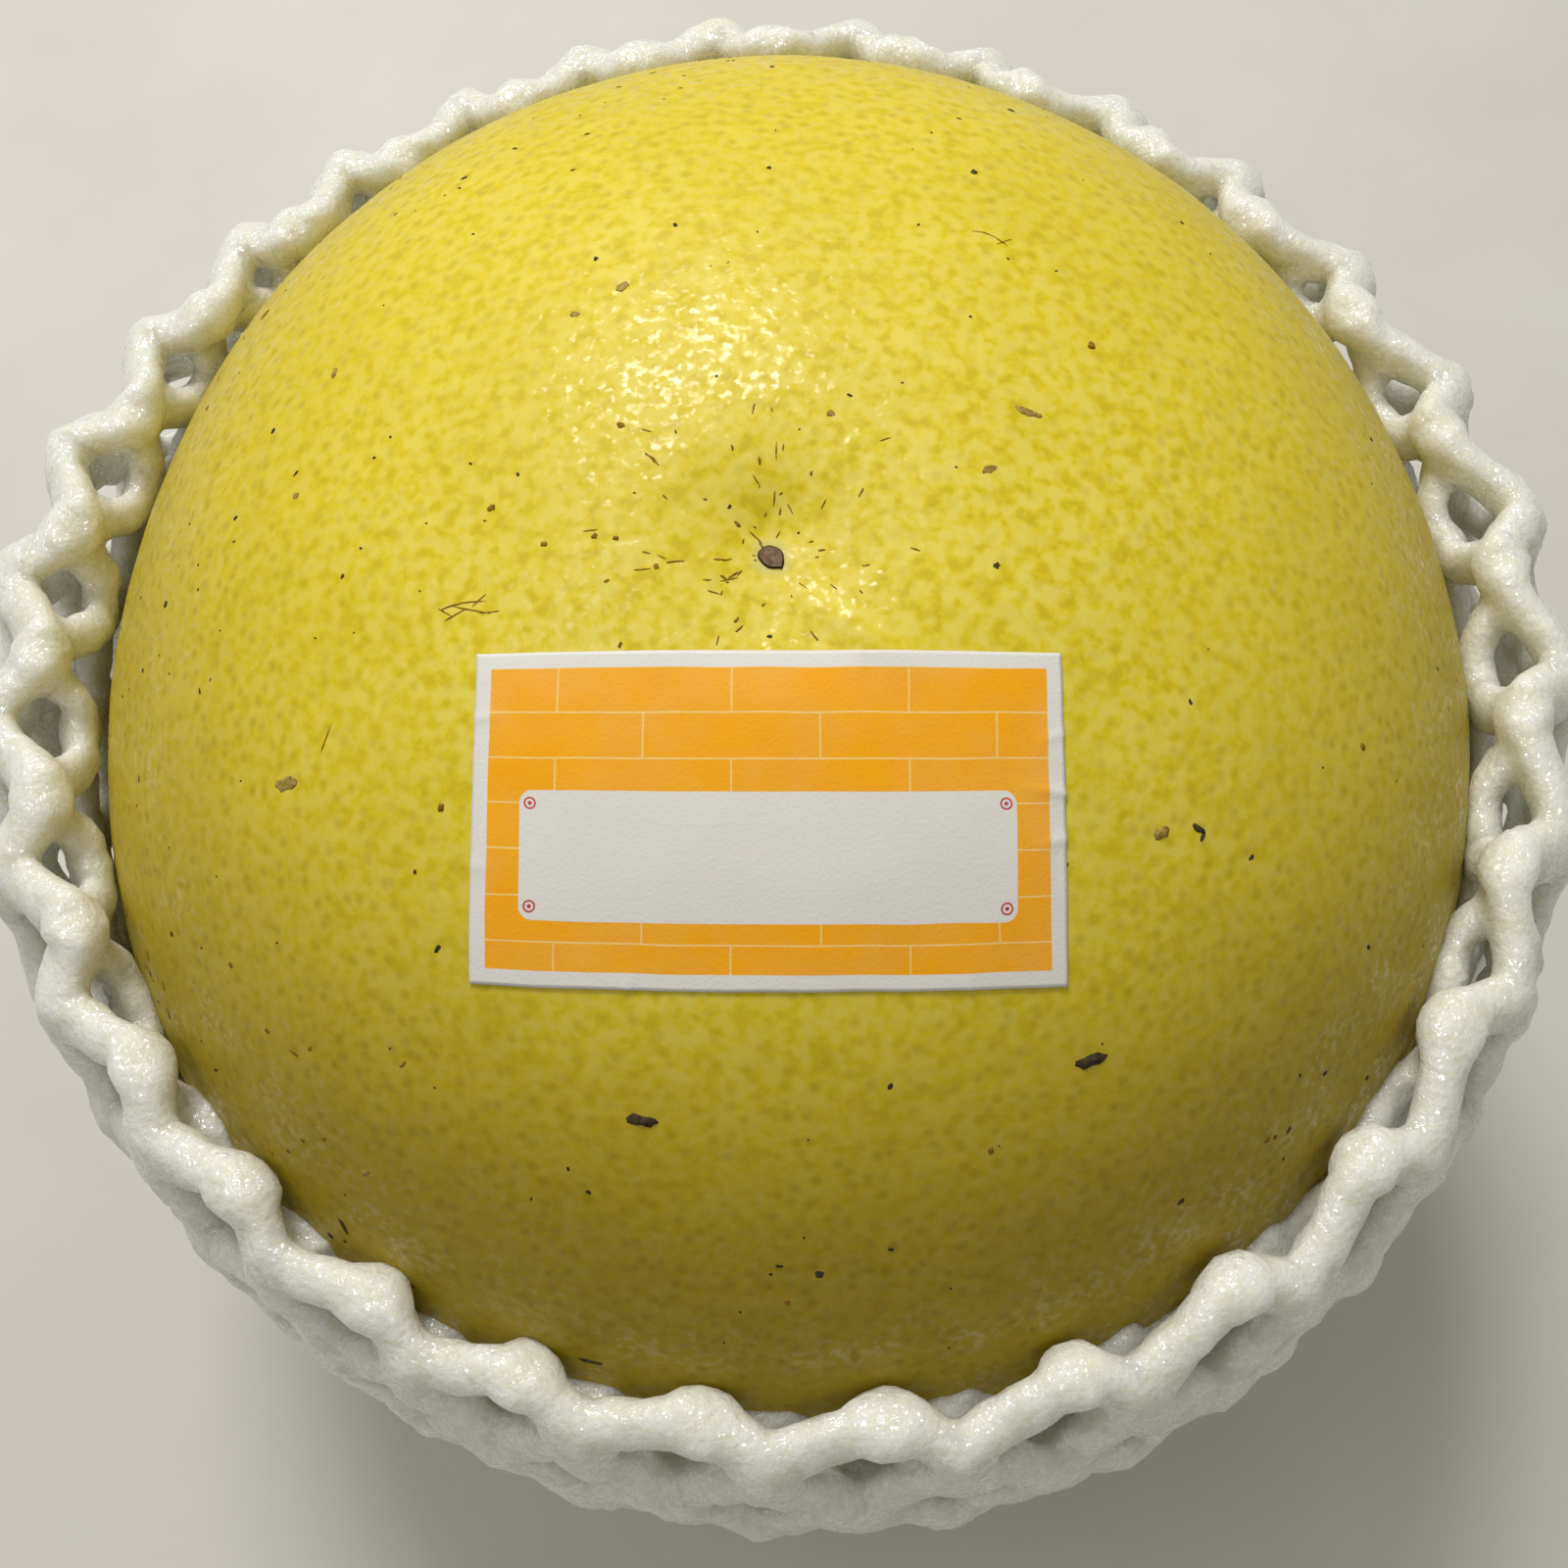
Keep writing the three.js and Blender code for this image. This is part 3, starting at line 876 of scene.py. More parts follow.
@dataclass
class Fruit:
    """The whole fruit: its skin with fine relief. Sizes are in millimetres.

    Each of its swells has a height, the width of one lump and the number of its pattern.
    """

    form: FruitForm
    swells: tuple[tuple[float, float, int], ...] = ((0.16, 17.0, 3), (0.07, 6.5, 5), (0.025, 2.6, 8))
    sunk: float = 0.15
    fold: Fold = Fold((3.8, -4.6), (4.2, 1.1), 0.32, math.radians(-33.0))
    hollow: Fold = Fold((-0.4, 2.6), (2.6, 2.2), -0.45)
    sides: int = 480
    scar_step: float = 0.12
    skin_step: float = 0.66
    hidden_step: float = 2.6
    step_growth: float = 0.12
    hidden_below: float = math.radians(-2.0)
    gland_depth: float = 0.02
    finish: PeelFinish = field(default_factory=PeelFinish)

    def elevations(self) -> np.ndarray:
        """Elevations of the rings in the fruit's own axes.

        Returns:
            The elevations in radians, close at the scar and wide where the net hides them.
        """
        rings = []
        elevation, step = math.pi / 2, self.scar_step
        while elevation > -math.pi / 2 + self.scar_step / self.form.half_height:
            elevation -= step / self.form.half_height
            rings.append(elevation)
            wanted = self.hidden_step if elevation < self.hidden_below else self.skin_step
            step += (wanted - step) * self.step_growth
        return np.array(rings[:-1])

    def relief(self, own: np.ndarray) -> np.ndarray:
        """Unevenness of the skin, up to a few tenths of a millimetre.

        Args:
            own: Unit vectors in the fruit's own axes.

        Returns:
            Height above the form's skin for each vector.
        """
        spots = own * self.form.half_height
        at_scar = (self.fold.at(spots) + self.hollow.at(spots)) * (spots[:, 2] > 0.0)
        return lumpy(spots, *self.swells) + at_scar - self.sunk

    def over_skin(self, aims: np.ndarray, height: np.ndarray | float) -> np.ndarray:
        """Points over the skin with its relief, for unit vectors from the centre in the part's axes."""
        return self.form.over_skin(aims, self.relief(aims @ self.form.leaning.T) + height)

    def build(self) -> None:
        """Makes the fruit."""
        rings = self.elevations()
        turn = np.tile(turns(self.sides), len(rings))
        own = directions(turn, np.repeat(rings, self.sides))
        own = np.concatenate([own, [[0.0, 0.0, 1.0], [0.0, 0.0, -1.0]]])
        reach = self.form.skin_radius(own) + self.relief(own)
        points = (own * reach[:, None]) @ self.form.leaning + self.form.centre
        count = len(rings) * self.sides
        faces = ring_faces(len(rings), self.sides, (count, count + 1), turned=True)
        fruit = make_object("fruit_skin", points, faces)
        self.press_glands(fruit)
        bake_modifiers(fruit)
        settle(fruit, self.finish.build(self.form), Slot.PEEL, "fruit")

    def press_glands(self, fruit: bpy.types.Object) -> None:
        """Presses the oil glands into the mesh, in the same places as in the peel's finish.

        Args:
            fruit: The fruit's object.
        """
        tree = bpy.data.node_groups.new("gland_relief", "GeometryNodeTree")
        tree.interface.new_socket("Geometry", in_out="INPUT", socket_type="NodeSocketGeometry")
        tree.interface.new_socket("Geometry", in_out="OUTPUT", socket_type="NodeSocketGeometry")
        sheet = NodeSheet(tree)
        entry = sheet.node("NodeGroupInput")
        place = sheet.node("GeometryNodeInputPosition").outputs[0]
        gland = self.finish.gland_mask(sheet, place)
        normal = sheet.node("GeometryNodeInputNormal").outputs[0]
        offset = sheet.vector("SCALE", normal, ORIGIN)
        sheet.feed(offset.node.inputs["Scale"], sheet.product(gland, -self.gland_depth * MM))
        moved = sheet.node("GeometryNodeSetPosition", {"Geometry": entry.outputs[0], "Offset": offset})
        sheet.node("NodeGroupOutput", {0: moved.outputs[0]})
        modifier = fruit.modifiers.new("glands", "NODES")
        modifier.node_group = tree


# --- Marks on the skin --------------------


@dataclass(frozen=True)
class MarkFinish(GrainyFinish):
    """Dry, corky skin of a healed mark."""

    name: str = "dark_mark"
    roughness: float = 0.7
    dark: Colour = paint(44, 37, 26)
    light: Colour = paint(84, 72, 48)
    patch: float = 0.45
    grain: float = 6000.0
    depth: float = 0.06
    specular: float = 0.12


@dataclass(frozen=True)
class Mark:
    """One mark: its length and width, its angle from level in degrees, and the pixel at which it is seen."""

    length: float
    width: float
    angle: float = 0.0
    height: float = 0.01
    bend: float = 0.0
    seen_at: tuple[float, float] = (0.0, 0.0)


@dataclass
class SkinMarks:
    """Marks of one colour, each a thin flake that is let into the skin. Sizes are in millimetres.

    Flakes have a flat top, smaller than their foot by top_share, and an outline that is uneven by a share.
    """

    name: str
    fruit: Fruit
    view: Viewpoint
    finish: MarkFinish
    chosen: tuple[Mark, ...] = ()
    first_seed: int = 100
    outline_points: int = 12
    blunt: float = 0.7
    uneven_outline: float = 0.25
    uneven_top: float = 0.3
    foot: float = 0.03
    root: float = 0.1
    top_share: float = 0.72
    proud: float = 0.0
    widening: float = 1.0
    heap: Heap = field(default_factory=Heap)

    def add(self, aim: np.ndarray, mark: Mark, seed: int) -> None:
        """Adds one flake.

        Args:
            aim: Direction of its middle from the fruit's centre, in the part's axes.
            mark: Its sizes.
            seed: Number of its uneven outline.
        """
        right, up, _ = self.view.axes()
        side = unit(right - aim * (right @ aim))
        rise = np.cross(aim, side)
        rise = rise if rise @ up > 0 else -rise
        angle = math.radians(mark.angle)
        long_way = side * math.cos(angle) + rise * math.sin(angle)
        wide_way = rise * math.cos(angle) - side * math.sin(angle)
        rng = np.random.default_rng(seed)
        turn = turns(self.outline_points)
        uneven = 1.0 + self.uneven_outline * rng.uniform(-1.0, 1.0, self.outline_points)
        along = np.cos(turn) * uneven * mark.length / 2
        width = mark.width * self.widening
        across = np.sign(np.sin(turn)) * np.abs(np.sin(turn)) ** self.blunt * uneven * width / 2
        across = across + mark.bend * (1.0 - (2 * along / mark.length) ** 2) * mark.length
        middle = mark.bend * mark.length
        top = mark.height + self.proud
        radius = self.fruit.form.half_height
        blocks = []
        for share, height in ((1.0, -self.foot), (self.top_share, top)):
            spread = long_way * (along * share)[:, None]
            spread = spread + wide_way * (middle + (across - middle) * share)[:, None]
            lifted = height * (1.0 + self.uneven_top * rng.uniform(-1.0, 1.0, self.outline_points))
            blocks.append(self.fruit.over_skin(unit(aim * radius + spread), lifted))
        tip = unit(aim * radius + wide_way * middle)[None, :]
        blocks.append(self.fruit.over_skin(tip, top * 0.8))
        blocks.append(self.fruit.over_skin(tip, -self.root))
        end = 2 * self.outline_points
        self.heap.add(np.concatenate(blocks), ring_faces(2, self.outline_points, (end + 1, end)))

    def scatter(self, count: int, seed: int, lean: np.ndarray, sizes: tuple[float, float]) -> None:
        """Adds small specks at random over the skin that shows, most of them short.

        Args:
            count: How many.
            seed: Number of the random draw.
            lean: Direction in which they are denser.
            sizes: Smallest and largest length.
        """
        lowest, least_dense, shortness = -0.15, 0.25, 2.4
        rng = np.random.default_rng(seed)
        made = 0
        while made < count:
            aim = unit(rng.normal(size=3))
            if aim[2] < lowest:
                continue
            if rng.uniform() > least_dense + (1.0 - least_dense) * max(0.0, float(aim @ lean)):
                continue
            length = sizes[0] + (sizes[1] - sizes[0]) * rng.uniform() ** shortness
            mark = Mark(length, length * rng.uniform(0.4, 0.95), rng.uniform(0.0, 180.0), height=0.02)
            self.add(aim, mark, seed + made)
            made += 1

    def ring_scar(self, count: int, seed: int) -> None:
        """Adds fine dashes that point to the scar.

        Args:
            count: How many.
            seed: Number of the random draw.
        """
        rng = np.random.default_rng(seed)
        form = self.fruit.form
        nearest, farthest, swing = 1.9, 11.0, 22.0
        for number in range(count):
            turn = rng.uniform(0.0, 2 * math.pi)
            reach = rng.uniform(nearest, farthest)
            own = directions(np.array(turn), np.array(math.pi / 2 - reach / form.half_height))
            tilt = math.degrees(turn) + rng.normal(0.0, swing)
            length = rng.uniform(0.2, 1.0)
            mark = Mark(length, rng.uniform(0.06, 0.11), tilt)
            self.add(own @ form.leaning, mark, seed + number)

    def build(self) -> None:
        """Makes the marks' piece."""
        for number, mark in enumerate(self.chosen):
            self.add(self.view.aim_at(self.fruit.form, mark.seen_at), mark, self.first_seed + number)
        piece = self.heap.make(self.name)
        settle(piece, self.finish.build(), Slot.PEEL)


DARK_MARKS = (
    Mark(2.0, 0.85, -4, height=0.1, seen_at=(655, 1144)),
    Mark(2.1, 0.9, 10, height=0.1, seen_at=(1115, 1084)),
    Mark(1.9, 0.4, -3, height=0.05, seen_at=(603, 1391)),
    Mark(1.7, 0.45, -62, height=0.05, seen_at=(350, 1252)),
    Mark(1.1, 0.5, -30, height=0.08, seen_at=(1225, 846)),
    Mark(0.7, 0.3, 60, height=0.06, seen_at=(1229, 854)),
)
BROWN_STROKES = (
    Mark(3.2, 0.1, 6, bend=0.05, seen_at=(470, 617)), Mark(2.6, 0.09, -14, seen_at=(480, 622)),
    Mark(1.8, 0.09, 24, seen_at=(464, 626)), Mark(1.5, 0.08, 40, seen_at=(487, 612)),
    Mark(1.1, 0.08, -30, seen_at=(452, 624)), Mark(1.4, 0.08, 3, seen_at=(498, 624)),
    Mark(2.2, 0.1, 68, seen_at=(330, 755)), Mark(1.3, 0.09, 88, seen_at=(792, 458)),
    Mark(0.5, 0.1, 80, seen_at=(799, 455)), Mark(0.5, 0.12, 100, seen_at=(747, 456)),
    Mark(0.6, 0.16, 95, height=0.02, seen_at=(775, 469)),
    Mark(0.35, 0.14, 75, height=0.02, seen_at=(828, 481)), Mark(1.0, 0.11, 84, seen_at=(790, 505)),
    Mark(0.3, 0.1, 50, seen_at=(797, 501)), Mark(0.6, 0.12, 80, seen_at=(796, 518)),
    Mark(0.4, 0.09, 70, seen_at=(781, 521)), Mark(0.6, 0.2, -50, height=0.02, seen_at=(752, 533)),
    Mark(1.3, 0.09, -42, seen_at=(771, 546)), Mark(0.5, 0.12, -60, seen_at=(776, 553)),
    Mark(0.4, 0.1, 80, seen_at=(758, 551)), Mark(0.5, 0.1, -45, seen_at=(678, 506)),
    Mark(1.1, 0.14, -38, seen_at=(663, 465)), Mark(0.8, 0.12, -44, seen_at=(668, 470)),
    Mark(0.6, 0.35, -20, height=0.04, seen_at=(633, 432)), Mark(0.8, 0.07, -20, seen_at=(659, 438)),
    Mark(0.45, 0.32, height=0.03, seen_at=(554, 554)), Mark(0.45, 0.32, height=0.03, seen_at=(606, 546)),
    Mark(0.45, 0.26, height=0.03, seen_at=(628, 548)), Mark(1.0, 0.07, 4, seen_at=(602, 540)),
    Mark(0.35, 0.3, height=0.03, seen_at=(669, 577)), Mark(1.4, 0.1, 9, seen_at=(688, 572)),
    Mark(1.1, 0.08, 6, seen_at=(655, 580)), Mark(1.0, 0.09, -2, seen_at=(735, 570)),
    Mark(0.6, 0.08, 20, seen_at=(742, 570)), Mark(0.8, 0.12, 35, seen_at=(748, 586)),
    Mark(1.2, 0.08, 15, seen_at=(744, 590)), Mark(0.6, 0.1, 55, seen_at=(755, 583)),
    Mark(0.6, 0.14, -30, seen_at=(738, 588)), Mark(0.6, 0.09, seen_at=(721, 591)),
    Mark(0.4, 0.1, 70, seen_at=(736, 604)), Mark(0.4, 0.16, 25, height=0.02, seen_at=(618, 592)),
    Mark(0.5, 0.16, 50, height=0.02, seen_at=(751, 632)),
    Mark(0.35, 0.14, 50, height=0.02, seen_at=(779, 616)),
    Mark(0.9, 0.13, -52, height=0.02, seen_at=(831, 648)), Mark(0.35, 0.12, 15, seen_at=(828, 551)),
    Mark(0.6, 0.07, 8, seen_at=(884, 576)), Mark(0.5, 0.2, 80, height=0.02, seen_at=(632, 658)),
    Mark(2.4, 0.07, -24, bend=0.08, seen_at=(1012, 242)), Mark(1.4, 0.06, 38, seen_at=(1025, 246)),
    Mark(1.2, 0.06, 4, seen_at=(1000, 236)), Mark(0.9, 0.2, -70, height=0.02, seen_at=(150, 975)),
    Mark(0.9, 0.2, -60, height=0.02, seen_at=(165, 1005)),
    Mark(1.1, 0.25, -66, height=0.02, seen_at=(170, 1035)),
    Mark(0.7, 0.25, -60, height=0.02, seen_at=(180, 1090)),
    Mark(0.45, 0.3, -40, height=0.02, seen_at=(234, 985)),
    Mark(0.45, 0.25, -20, height=0.02, seen_at=(272, 1052)),
    Mark(0.9, 0.12, -12, height=0.02, seen_at=(300, 1075)),
    Mark(0.5, 0.2, 40, height=0.02, seen_at=(316, 1070)),
    Mark(0.6, 0.16, 48, height=0.02, seen_at=(410, 1087)),
    Mark(0.4, 0.25, -30, height=0.02, seen_at=(276, 1176)),
    Mark(0.4, 0.25, height=0.02, seen_at=(308, 1164)), Mark(0.4, 0.25, height=0.02, seen_at=(330, 1162)),
    Mark(0.45, 0.35, height=0.03, seen_at=(1012, 1176)), Mark(0.4, 0.35, height=0.03, seen_at=(803, 1330)),
    Mark(0.5, 0.3, 30, height=0.03, seen_at=(1295, 1165)),
    Mark(0.6, 0.45, height=0.03, seen_at=(1114, 352)), Mark(0.5, 0.4, height=0.03, seen_at=(1392, 762)),
    Mark(0.5, 0.45, height=0.03, seen_at=(449, 824)), Mark(1.1, 0.5, 50, height=0.03, seen_at=(268, 320)),
    Mark(0.6, 0.35, 20, height=0.03, seen_at=(500, 517)),
)
TAN_MARKS = (
    Mark(1.2, 0.9, 20, height=0.08, seen_at=(1187, 850)),
    Mark(2.0, 1.0, 12, height=0.06, seen_at=(290, 800)),
    Mark(1.1, 0.8, 30, height=0.06, seen_at=(635, 290)), Mark(0.7, 0.5, height=0.05, seen_at=(848, 420)),
    Mark(2.0, 0.7, -12, height=0.05, seen_at=(1050, 420)),
    Mark(0.9, 0.6, 75, height=0.05, seen_at=(340, 380)), Mark(0.9, 0.6, height=0.05, seen_at=(585, 318)),
    Mark(1.2, 0.6, 20, height=0.05, seen_at=(1010, 478)),
    Mark(0.9, 0.5, 35, height=0.04, seen_at=(372, 1197)), Mark(0.7, 0.5, height=0.04, seen_at=(300, 505)),
)


@dataclass(frozen=True)
class ScarFinish(GrainyFinish):
    """Dry, brown end of the fallen style, darker at its edge."""

    name: str = "scar"
    roughness: float = 0.75
    dark: Colour = paint(146, 120, 98)
    light: Colour = paint(108, 84, 66)
    edge: Colour = paint(50, 34, 20)
    edge_from: tuple[float, float] = (0.8, 0.94)
    patch: float = 0.35
    grain: float = 3400.0
    depth: float = 0.12
    specular: float = 0.1

    def colour(self, sheet: NodeSheet, place: Socket) -> Socket:
        """The mottled colour with the dark edge."""
        share = sheet.node("ShaderNodeAttribute", attribute_name="share").outputs["Fac"]
        return sheet.blend(sheet.eased(share, *self.edge_from), super().colour(sheet, place), self.edge)


@dataclass
class BlossomScar:
    """The oval scar at the blossom end, with a low rim and one small point. Sizes are in millimetres.

    The profile holds shares of the way out and the heights there.
    """

    fruit: Fruit
    length: float = 1.95
    width: float = 1.65
    angle: float = math.radians(-38.0)
    sides: int = 48
    profile: tuple[tuple[float, float], ...] = (
        (1.0, -0.12), (1.0, 0.06), (0.96, 0.16), (0.88, 0.19),
        (0.8, 0.15), (0.62, 0.13), (0.4, 0.17), (0.2, 0.14),
    )
    ends: tuple[tuple[float, float], ...] = ((0.0, 0.15), (0.0, -0.2))
    unevenness: tuple[tuple[float, int, float], ...] = ((0.03, 3, 1.0), (0.025, 5, 0.0))
    point_turn: float = 6.05
    point_width: float = 0.15
    point_length: float = 0.16
    bumps: float = 0.025
    finish: ScarFinish = field(default_factory=ScarFinish)

    def build(self) -> None:
        """Makes the scar."""
        turn = turns(self.sides)
        uneven = 1.0 + ripple(turn, *self.unevenness)
        uneven = uneven + self.point_length * np.exp(-(((turn - self.point_turn) / self.point_width) ** 2))
        rough = np.random.default_rng(12)
        form = self.fruit.form
        points, shares = [], []
        for share, height in self.profile + self.ends:
            count = self.sides if share > 0 else 1
            along = share * self.length / 2 * np.cos(turn[:count]) * uneven[:count]
            across = share * self.width / 2 * np.sin(turn[:count]) * uneven[:count]
            x = form.scar_at[0] + along * math.cos(self.angle) - across * math.sin(self.angle)
            y = form.scar_at[1] + along * math.sin(self.angle) + across * math.cos(self.angle)
            aims = unit(np.stack([x, y, np.full(count, form.half_height)], axis=-1)) @ form.leaning
            bumpy = self.bumps * rough.uniform(-1.0, 1.0, count) if 0.0 < share < 0.9 else 0.0
            points.append(self.fruit.over_skin(aims, height + bumpy))
            shares.append(np.full(count, share))
        tip = len(self.profile) * self.sides
        faces = ring_faces(len(self.profile), self.sides, (tip + 1, tip))
        scar = make_object("blossom_scar", np.concatenate(points), faces)
        layer = scar.data.attributes.new("share", "FLOAT", "POINT")
        layer.data.foreach_set("value", np.concatenate(shares))
        settle(scar, self.finish.build(), Slot.PEEL)


# --- The calyx at the stem end --------------------


@dataclass(frozen=True)
class CalyxFinish(GrainyFinish):
    """Dry green-brown calyx and clipped stem."""

    name: str = "calyx"
    roughness: float = 0.7
    dark: Colour = paint(96, 98, 48)
    light: Colour = paint(98, 78, 46)
    patch: float = 1.6
    grain: float = 2600.0
    grain_detail: float = 4.0
    depth: float = 0.15


@dataclass
class Calyx:
    """The button that the stem leaves, with five lobes and a clipped stub. Sizes are in millimetres.

    The button's line holds shares of its radius and height. The stub's line holds shares of its radius and
    heights below its top.
    """

    fruit: Fruit
    radius: float = 5.5
    height: float = 1.2
    stub_radius: float = 2.1
    stub_height: float = 1.1
    lobes: tuple[tuple[float, int, float], ...] = ((0.16, 5, 0.0), (0.05, 2, 1.0))
    button: tuple[tuple[float, float], ...] = (
        (1.0, -0.5), (1.02, 0.1), (0.97, 0.55), (0.86, 0.8), (0.7, 0.92), (0.52, 1.0), (0.42, 1.08),
    )
    stub: tuple[tuple[float, float], ...] = ((1.05, 0.8), (1.0, 0.2), (0.9, 0.0), (0.5, 0.25))
    stub_unevenness: tuple[tuple[float, int, float], ...] = ((0.04, 3, 0.5), (0.02, 11, 0.0))
    hollow: float = 0.35
    root: float = 0.6
    sides: int = 90
    finish: CalyxFinish = field(default_factory=CalyxFinish)

    def build(self) -> None:
        """Makes the calyx."""
        turn = turns(self.sides)
        lobed = ripple(turn, *self.lobes)
        rings = []
        for share, rise in self.button:
            rings.append((self.radius * share * (1.0 + lobed * share), self.height * rise))
        top = self.height + self.stub_height
        uneven = 1.0 + ripple(turn, *self.stub_unevenness)
        rings += [(self.stub_radius * share * uneven, top - below) for share, below in self.stub]
        points = []
        for reach, height in rings:
            points.append(self.on_stem_end(turn, reach / self.fruit.form.half_height, height))
        for height in (top - self.hollow, -self.root):
            points.append(self.on_stem_end(np.zeros(1), np.full(1, 1e-6), height))
        top_end = len(rings) * self.sides
        faces = ring_faces(len(rings), self.sides, (top_end + 1, top_end), turned=True)
        calyx = make_object("calyx", np.concatenate(points), faces)
        settle(calyx, self.finish.build(), Slot.PEEL)

    def on_stem_end(self, turn: np.ndarray, away: np.ndarray, height: float) -> np.ndarray:
        """Points over the basin, for angles round the fruit's own axis and away from it."""
        own = directions(turn, away - math.pi / 2)
        return self.fruit.over_skin(own @ self.fruit.form.leaning, height)


# --- The label --------------------


@dataclass(frozen=True)
class PaperFinish(Finish):
    """Coated paper with a plain print: an orange panel with brick lines and a bare white plate.

    Lengths are in millimetres. The plate and its screws are shares of the label's width and height.
    """

    name: str = "label_paper"
    roughness: float = 0.48
    white: Colour = paint(232, 230, 226)
    orange: Colour = paint(255, 176, 0)
    joint: Colour = paint(252, 214, 130)
    worn: Colour = paint(226, 132, 20)
    soil: Colour = paint(214, 208, 176)
    screw: Colour = paint(196, 40, 44)
    border: float = 1.1
    course: float = 3.0
    brick: float = 11.5
    joint_width: float = 0.13
    plate_middle: tuple[float, float] = (0.5, 0.39)
    plate_half: tuple[float, float] = (0.414, 0.192)
    screw_half: tuple[float, float] = (0.396, 0.152)
    panel_corner: float = 0.15
    plate_corner: float = 0.9
    print_blur: float = 0.04
    screw_ring: float = 0.36
    ring_line: tuple[float, float] = (0.03, 0.09)
    screw_dot: tuple[float, float] = (0.1, 0.18)

    def build(self, width: float, height: float) -> bpy.types.Material:
        """Makes the paper's material.

        Args:
            width: The label's width.
            height: The label's height.

        Returns:
            The material.
        """
        material, sheet, shader = self.start()
        place = sheet.place()
        spot = sheet.node("ShaderNodeUVMap", uv_map="print").outputs[0]
        scaled = sheet.vector("MULTIPLY", spot, (width, height, 0.0))
        split = sheet.node("ShaderNodeSeparateXYZ", {0: scaled})
        across, up = split.outputs[0], split.outputs[1]
        whole = np.array([width, height])
        panel = self.box(sheet, (across, up), whole / 2, whole / 2 - self.border, self.panel_corner)
        plate_at = whole * self.plate_middle
        plate = self.box(sheet, (across, up), plate_at, whole * self.plate_half, self.plate_corner)
        bricks = sheet.node(
            "ShaderNodeTexBrick",
            {
                "Vector": scaled, "Scale": 1.0, "Mortar Size": self.joint_width / 2, "Mortar Smooth": 0.3,
                "Brick Width": self.brick, "Row Height": self.course,
                "Color1": self.orange, "Color2": self.orange, "Mortar": self.joint,
            },
        )
        uneven = self.mottle(sheet, place, 3.0)
        ink = sheet.blend(sheet.product(uneven, 0.1), bricks.outputs[0], self.worn)
        colour = sheet.blend(panel, self.white, ink)
        colour = sheet.blend(plate, colour, self.white)
        screws = self.screws(sheet, (across, up), plate_at, whole * self.screw_half)
        colour = sheet.blend(screws, colour, self.screw)
        soiled = sheet.product(self.mottle(sheet, place, 7.0), 0.12)
        colour = sheet.blend(soiled, colour, self.soil)
        sheet.give(shader, {
            "Base Color": colour,
            "Roughness": sheet.spread(uneven, self.roughness - 0.05, self.roughness + 0.06),
            "Specular IOR Level": 0.25,
            "Normal": sheet.bump(sheet.noise(place, 3500.0, 5.0), 0.03 * MM),
        })
        return material

    def screws(
        self,
        sheet: NodeSheet,
        spot: Sequence[Socket],
        middle: Sequence[float],
        half: Sequence[float],
    ) -> Socket:
        """1 on the four ringed screw heads in the plate's corners, and 0 elsewhere.

        Args:
            sheet: The material's nodes.
            spot: Distances from the label's left and lower edges.
            middle: The plate's middle.
            half: Half the distances between the screws.

        Returns:
            The mask.
        """
        off = []
        for value, centre, reach in zip(spot, middle, half):
            off.append(sheet.math("SUBTRACT", self.from_middle(sheet, value, centre), reach))
        away = sheet.apart(*off)
        off_ring = sheet.math("ABSOLUTE", sheet.math("SUBTRACT", away, self.screw_ring))
        ring = sheet.rest(sheet.eased(off_ring, *self.ring_line))
        dot = sheet.rest(sheet.eased(away, *self.screw_dot))
        return sheet.math("MAXIMUM", ring, dot)

    def box(
        self,
        sheet: NodeSheet,
        spot: Sequence[Socket],
        middle: Sequence[float],
        half: Sequence[float],
        corner: float,
    ) -> Socket:
        """1 inside a box with round corners and 0 outside it.

        Args:
            sheet: The material's nodes.
            spot: Distances from the label's left and lower edges.
            middle: The box's middle.
            half: Half its width and half its height.
            corner: Radius of its corners.

        Returns:
            The mask.
        """
        beyond = []
        for value, centre, reach in zip(spot, middle, half):
            away = self.from_middle(sheet, value, centre)
            beyond.append(sheet.math("MAXIMUM", sheet.math("SUBTRACT", away, reach - corner), 0.0))
        away = sheet.apart(*beyond)
        return sheet.rest(sheet.eased(away, corner - self.print_blur, corner + self.print_blur))

    def from_middle(self, sheet: NodeSheet, value: Socket, middle: float) -> Socket:
        """How far a distance is from a middle, on either side."""
        return sheet.math("ABSOLUTE", sheet.math("SUBTRACT", value, middle))


class Edge(Enum):
    """The label's edges, as directions from its middle."""

    LEFT = (-1, 0)
    RIGHT = (1, 0)
    BOTTOM = (0, -1)
    TOP = (0, 1)


@dataclass(frozen=True)
class Crease:
    """A short crease of the paper, which widens and fades away from an edge. Sizes are in millimetres.

    Its place is counted along the edge from the edge's middle, and its angle in degrees.
    """

    edge: Edge
    place: float
    angle: float
    reach: float
    height: float
    inset: float = 0.0
    narrow: float = 0.25
    widening: float = 0.12

    def at(self, across: np.ndarray, up: np.ndarray, half: tuple[float, float]) -> np.ndarray:
        """Its height at places on the paper.

        Args:
            across: Distances to the right of the paper's middle.
            up: Distances above it.
            half: Half the paper's width and height.

        Returns:
            Height for each place.
        """
        turn = math.radians(self.angle)
        level, upright = self.edge.value
        x = across - (level * (half[0] - self.inset) if level else self.place)
        y = up - (upright * (half[1] - self.inset) if upright else self.place)
        along = x * math.cos(turn) + y * math.sin(turn)
        beside = y * math.cos(turn) - x * math.sin(turn)
        fade = (1.0 - smoothstep(along, 0.0, self.reach)) * (along > -1.0)
        width = self.narrow + self.widening * np.maximum(along, 0.0)
        return self.height * fade * np.exp(-np.abs(beside) / width)


